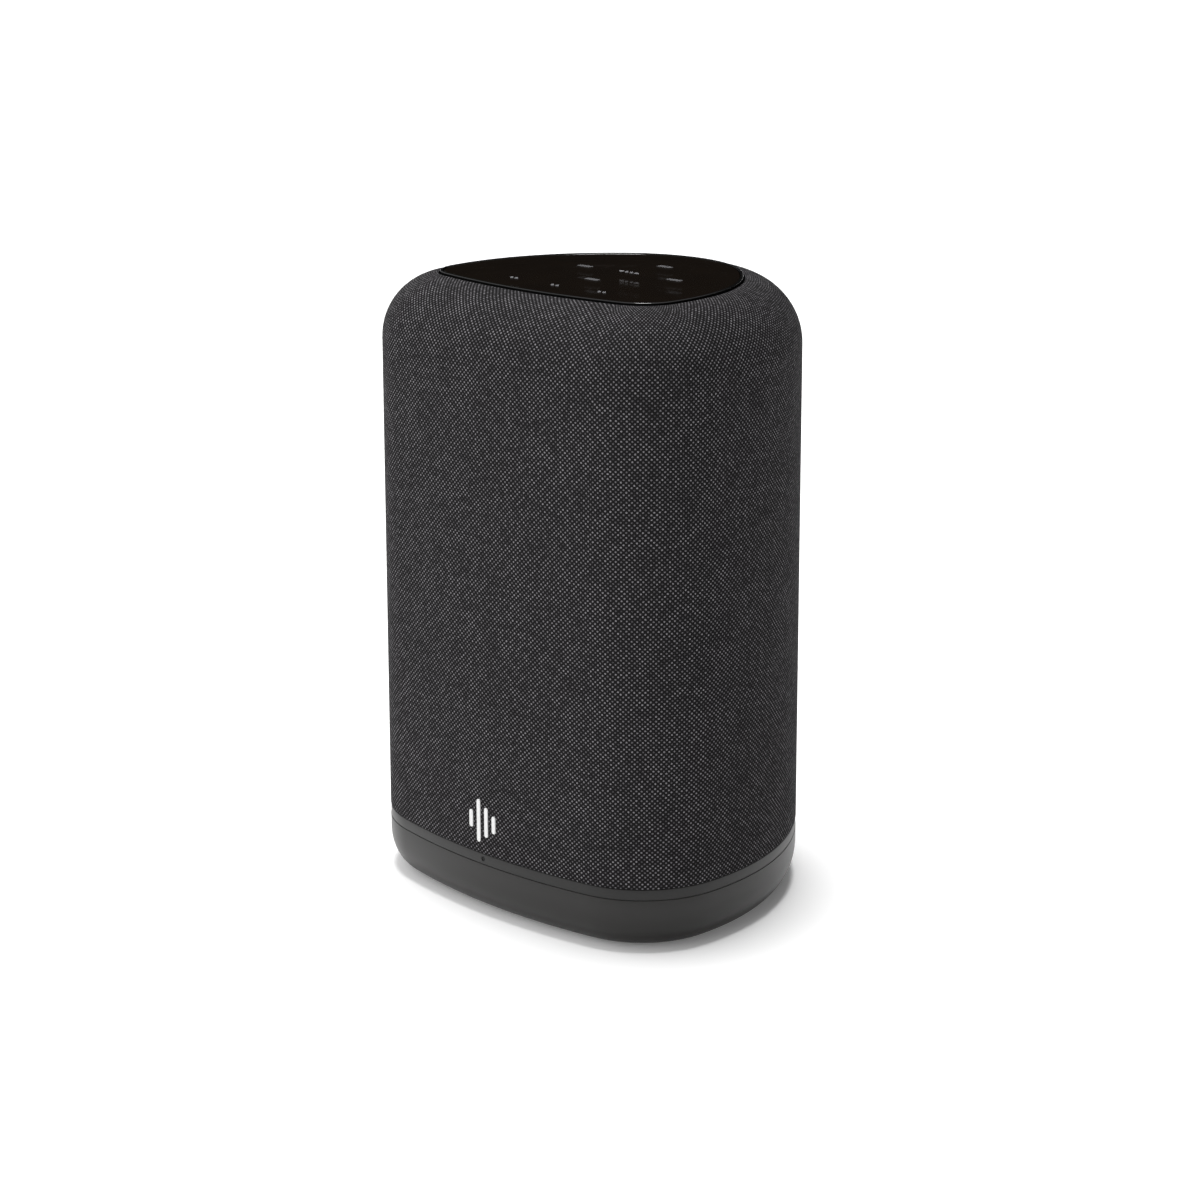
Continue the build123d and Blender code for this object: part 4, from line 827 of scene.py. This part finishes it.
# ---- light guides of the touch keys ---------------------------------------------------------------

KEYS = ((-17.5, -23.5), (0, -24.5), (17.5, -23.5), (0, 6))
LIGHT_BARS = ((-17.8, 6), (17.8, 6), (0, -9.3), (0, 21.3))
MIDDLE_KEY = KEYS[3]
POST_ASIDE = 0.95
ARROW_NEAR, ARROW_TIP, ARROW_HALF = 2.6, 3.9, 0.7


def light_guides():
    """Two slim posts under every key, small arrows beside the middle one, and four light bars."""
    shape = bmesh.new()
    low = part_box("touch_light_guides")[0].z
    for x, y in KEYS:
        for aside in (-POST_ASIDE, POST_ASIDE):
            centre = ((x + aside) * MM, y * MM)
            points = rounded_rectangle(centre, 0.6 * MM, 0.9 * MM, 0.15 * MM, 3)
            prism_into(shape, points, low, GUIDE_TOP)
    for side in (-1, 1):
        x, y = MIDDLE_KEY
        near, tip = (x + side * ARROW_NEAR) * MM, (x + side * ARROW_TIP) * MM
        points = [(near, (y - ARROW_HALF) * MM), (tip, y * MM), (near, (y + ARROW_HALF) * MM)]
        prism_into(shape, points, GUIDE_TOP - 0.3 * MM, GUIDE_TOP)
    for x, y in LIGHT_BARS:
        points = rounded_rectangle((x * MM, y * MM), 5 * MM, 2 * MM, 0.3 * MM, 3)
        prism_into(shape, points, low, GUIDE_TOP - 0.3 * MM)
    bmesh.ops.recalc_face_normals(shape, faces=shape.faces)
    mesh = bpy.data.meshes.new("key_light_guides")
    shape.to_mesh(mesh)
    shape.free()
    piece = finish_mesh("key_light_guides", mesh, finishes["light_guide"])
    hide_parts("touch_light_guides")


light_guides()

# ---- front badge ----------------------------------------------------------------------------------

BADGE_LOW, BADGE_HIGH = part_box("front_badge")
BADGE_HEIGHTS = (5.4 * MM, 13.2 * MM, 9.2 * MM, 5.4 * MM)
BADGE_PITCH = 3.1 * MM
BADGE_BAR = 1.45 * MM
BADGE_LIFT = 2.0 * MM
BADGE_PROUD, BADGE_SUNK = 0.2 * MM, 0.5 * MM


def badge():
    """Four plain level bars, pressed on so that they stand a hair proud of the cloth."""
    shape = bmesh.new()
    centre_z = (BADGE_LOW.z + BADGE_HIGH.z) / 2 + BADGE_LIFT
    for number, height in enumerate(BADGE_HEIGHTS):
        centre = ((number - 1.5) * BADGE_PITCH, centre_z)
        points = rounded_rectangle(centre, BADGE_BAR, height, BADGE_BAR / 2 - 0.01 * MM)
        prism_into(shape, points, BADGE_LOW.y - BADGE_PROUD, BADGE_LOW.y + BADGE_SUNK, "y")
    bmesh.ops.recalc_face_normals(shape, faces=shape.faces)
    mesh = bpy.data.meshes.new("level_badge")
    shape.to_mesh(mesh)
    shape.free()
    piece = finish_mesh("level_badge", mesh, finishes["badge_white"])
    bevel = piece.modifiers.new("soft_edge", "BEVEL")
    bevel.width = 0.12 * MM
    bevel.segments = 2
    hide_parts("front_badge")


badge()

# ---- flexing rings of the woofer ------------------------------------------------------------------

WOOFER_HEIGHT = (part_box("woofer_cone")[0].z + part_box("woofer_cone")[1].z) / 2
FLANGE_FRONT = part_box("woofer_surround")[1].y
ROLL_MIDDLE, ROLL_LEVEL = 37.1 * MM, -41.1 * MM
ROLL_OUT, ROLL_IN = 3.5 * MM, 2.7 * MM
ROLL_STEPS = 18
RING_STEPS = 144  # steps of a whole turn, shared out among the sectors
CONE_EDGE_LEVEL = -40.2 * MM


def turned_mesh(name, section, first, last, steps):
    """Closed section of (radius, y) points turned about the woofer's axis, from one angle to another."""
    shape = bmesh.new()
    rings = []
    for i in range(steps + 1):
        turn = first + (last - first) * i / steps
        places = [(r * math.cos(turn), y, WOOFER_HEIGHT + r * math.sin(turn)) for r, y in section]
        rings.append([shape.verts.new(place) for place in places])
    for ring, after in zip(rings, rings[1:]):
        for j in range(len(section)):
            k = (j + 1) % len(section)
            shape.faces.new((ring[j], after[j], after[k], ring[k]))
    shape.faces.new(rings[0])
    shape.faces.new(rings[-1][::-1])
    bmesh.ops.recalc_face_normals(shape, faces=shape.faces)
    mesh = bpy.data.meshes.new(name)
    shape.to_mesh(mesh)
    shape.free()
    return mesh


def flexing_ring(name, section, node, slot, sectors):
    """Ring in narrow sectors, each turned about the woofer's axis over its own share of the turn; the
    frame's own part is hidden."""
    half = math.pi / sectors
    for i in range(sectors):
        middle = 2 * half * i
        title = f"{name}_{i + 1:02d}"
        mesh = turned_mesh(title, section, middle - half, middle + half, RING_STEPS // sectors)
        piece = finish_mesh(title, mesh, finishes[slot], body=None)
        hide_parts(node)
        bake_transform(piece)


SPIDER_OUT, SPIDER_IN = 31 * MM, 12.5 * MM
SPIDER_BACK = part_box("woofer_spider")[1].y - 0.95 * MM
SPIDER_RISE = 2.5 * MM
SPIDER_HALF, SPIDER_WAVE = 0.22 * MM, 0.22 * MM  # half the cloth's thickness; height of its waves
SPIDER_STEPS, SPIDER_TURNS = 56, 7


def spider_section():
    """Waves of the cloth between the coil and the basket, rising forwards to the coil so that
    the full backward stroke clears the basket's floor."""
    front, back = [], []
    for i in range(SPIDER_STEPS + 1):
        share = i / SPIDER_STEPS
        radius = SPIDER_IN + (SPIDER_OUT - SPIDER_IN) * share
        wave = SPIDER_WAVE * math.cos(SPIDER_TURNS * math.pi * share)
        middle = SPIDER_BACK - SPIDER_RISE * (1 - share) + wave
        front.append((radius, middle - SPIDER_HALF))
        back.append((radius, middle + SPIDER_HALF))
    return front + back[::-1]


def surround_section():
    """Half roll between the cone's edge and the basket's flange."""
    roll = []
    for radius, turns in ((ROLL_OUT, range(ROLL_STEPS + 1)), (ROLL_IN, range(ROLL_STEPS, -1, -1))):
        for i in turns:
            turn = math.pi * i / ROLL_STEPS
            roll.append((ROLL_MIDDLE + radius * math.cos(turn), ROLL_LEVEL - radius * math.sin(turn)))
        if radius == ROLL_OUT:
            roll += [(33.5 * MM, CONE_EDGE_LEVEL), (34.3 * MM, CONE_EDGE_LEVEL)]
    lip = [(39.8 * MM, FLANGE_FRONT), (43 * MM, FLANGE_FRONT), (43 * MM, ROLL_LEVEL)]
    return roll + lip


flexing_ring(
    "woofer_spider_cloth", spider_section(), "woofer_spider", "spider_cloth", 12
)
flexing_ring(
    "woofer_surround_roll",
    surround_section(),
    "woofer_surround",
    "surround_rubber",
    24,
)

# ---- floor, light and camera ----------------------------------------------------------------------


def white_floor():
    """Seamless white paper sweep: matt, with a barely visible fibre."""
    material, tree, surface = new_material("white_paper")
    fibre = noise(tree, 3 * MM, 3)
    tint = add(tree, "Mix", {0: fibre, 6: colour("#f8f8f8"), 7: colour("#fbfbfb")}, data_type="RGBA")
    tree.links.new(tint.outputs[2], surface.inputs["Base Color"])
    surface.inputs["Roughness"].default_value = 0.9
    surface.inputs["Specular IOR Level"].default_value = 0.1
    surface.inputs["Emission Color"].default_value = (1, 1, 1, 1)
    surface.inputs["Emission Strength"].default_value = 0.12
    mesh = bpy.data.meshes.new("floor")
    size = 8.0
    corners = [(-size, -size, 0), (size, -size, 0), (size, size, 0), (-size, size, 0)]
    mesh.from_pydata(corners, [], [(0, 1, 2, 3)])
    mesh.materials.append(material)
    floor = bpy.data.objects.new("floor", mesh)
    bpy.context.scene.collection.objects.link(floor)


def studio_sky():
    """White behind the object, brighter from the left; dark low down where polished faces look."""
    world = bpy.data.worlds.new("studio")
    bpy.context.scene.world = world
    world.use_nodes = True
    tree = world.node_tree
    tree.nodes.clear()
    path = add(tree, "LightPath")
    place = add(tree, "TexCoord")
    axes = add(tree, "SeparateXYZ", {0: place.outputs["Generated"]})
    side = add(
        tree, "VectorMath", {0: place.outputs["Generated"], 1: (-0.78, -0.6, 0.15)}, operation="DOT_PRODUCT"
    )
    up = add(tree, "MapRange", {0: axes.outputs[2], 1: 0.35, 2: 0.95, 3: 0.01, 4: 0.8})
    window = add(tree, "MapRange", {0: side.outputs["Value"], 1: 0.35, 2: 0.95, 3: 0.0, 4: 0.7})
    mirrored = add(tree, "Math", {0: up.outputs[0], 1: window.outputs[0]}, operation="MAXIMUM")
    fill = add(tree, "MapRange", {0: side.outputs["Value"], 1: -0.35, 2: 0.9, 3: 0.0, 4: 1.5})
    seen = add(
        tree,
        "Mix",
        {0: path.outputs["Is Glossy Ray"], 2: fill.outputs[0], 3: mirrored.outputs[0]},
        data_type="FLOAT",
    )
    final = add(
        tree, "Mix", {0: path.outputs["Is Camera Ray"], 2: seen.outputs[0], 3: 1.0}, data_type="FLOAT"
    )
    light = add(tree, "Background", {"Color": final.outputs[0], "Strength": 1.0})
    add(tree, "OutputWorld", {"Surface": light.outputs[0]})


def sun_lamp(name, azimuth, elevation, strength, softness):
    """Sun from an azimuth (0 the front, 90 the right side) and an elevation, all angles in degrees."""
    lamp = bpy.data.lights.new(name, "SUN")
    lamp.energy = strength
    lamp.angle = math.radians(softness)
    holder = bpy.data.objects.new(name, lamp)
    bpy.context.scene.collection.objects.link(holder)
    holder.rotation_euler = (math.radians(90 - elevation), 0, math.radians(azimuth))


CAMERA_TURN = math.radians(43.75)  # round to the right from straight in front
CAMERA_AWAY, CAMERA_HEIGHT = 801.5 * MM, 315.8 * MM
CAMERA_DIP = 16.118  # degrees below level
FOCAL_LENGTH = 83.86  # millimetres, on a sensor 36 wide


def camera():
    """Stands to the front right and a little above, looking down at the object."""
    lens = bpy.data.cameras.new("camera")
    lens.sensor_width = 36
    lens.lens = FOCAL_LENGTH
    lens.shift_x = -0.0123
    lens.shift_y = 0.0012
    holder = bpy.data.objects.new("camera", lens)
    across, back = CAMERA_AWAY * math.sin(CAMERA_TURN), CAMERA_AWAY * math.cos(CAMERA_TURN)
    holder.location = (across, -back, CAMERA_HEIGHT)
    holder.rotation_euler = (math.radians(90 - CAMERA_DIP), 0, CAMERA_TURN)
    bpy.context.scene.collection.objects.link(holder)
    bpy.context.scene.camera = holder


white_floor()
studio_sky()
sun_lamp("top", 228, 85, 2.9, 20)
camera()
bpy.context.scene.view_settings.view_transform = "Standard"
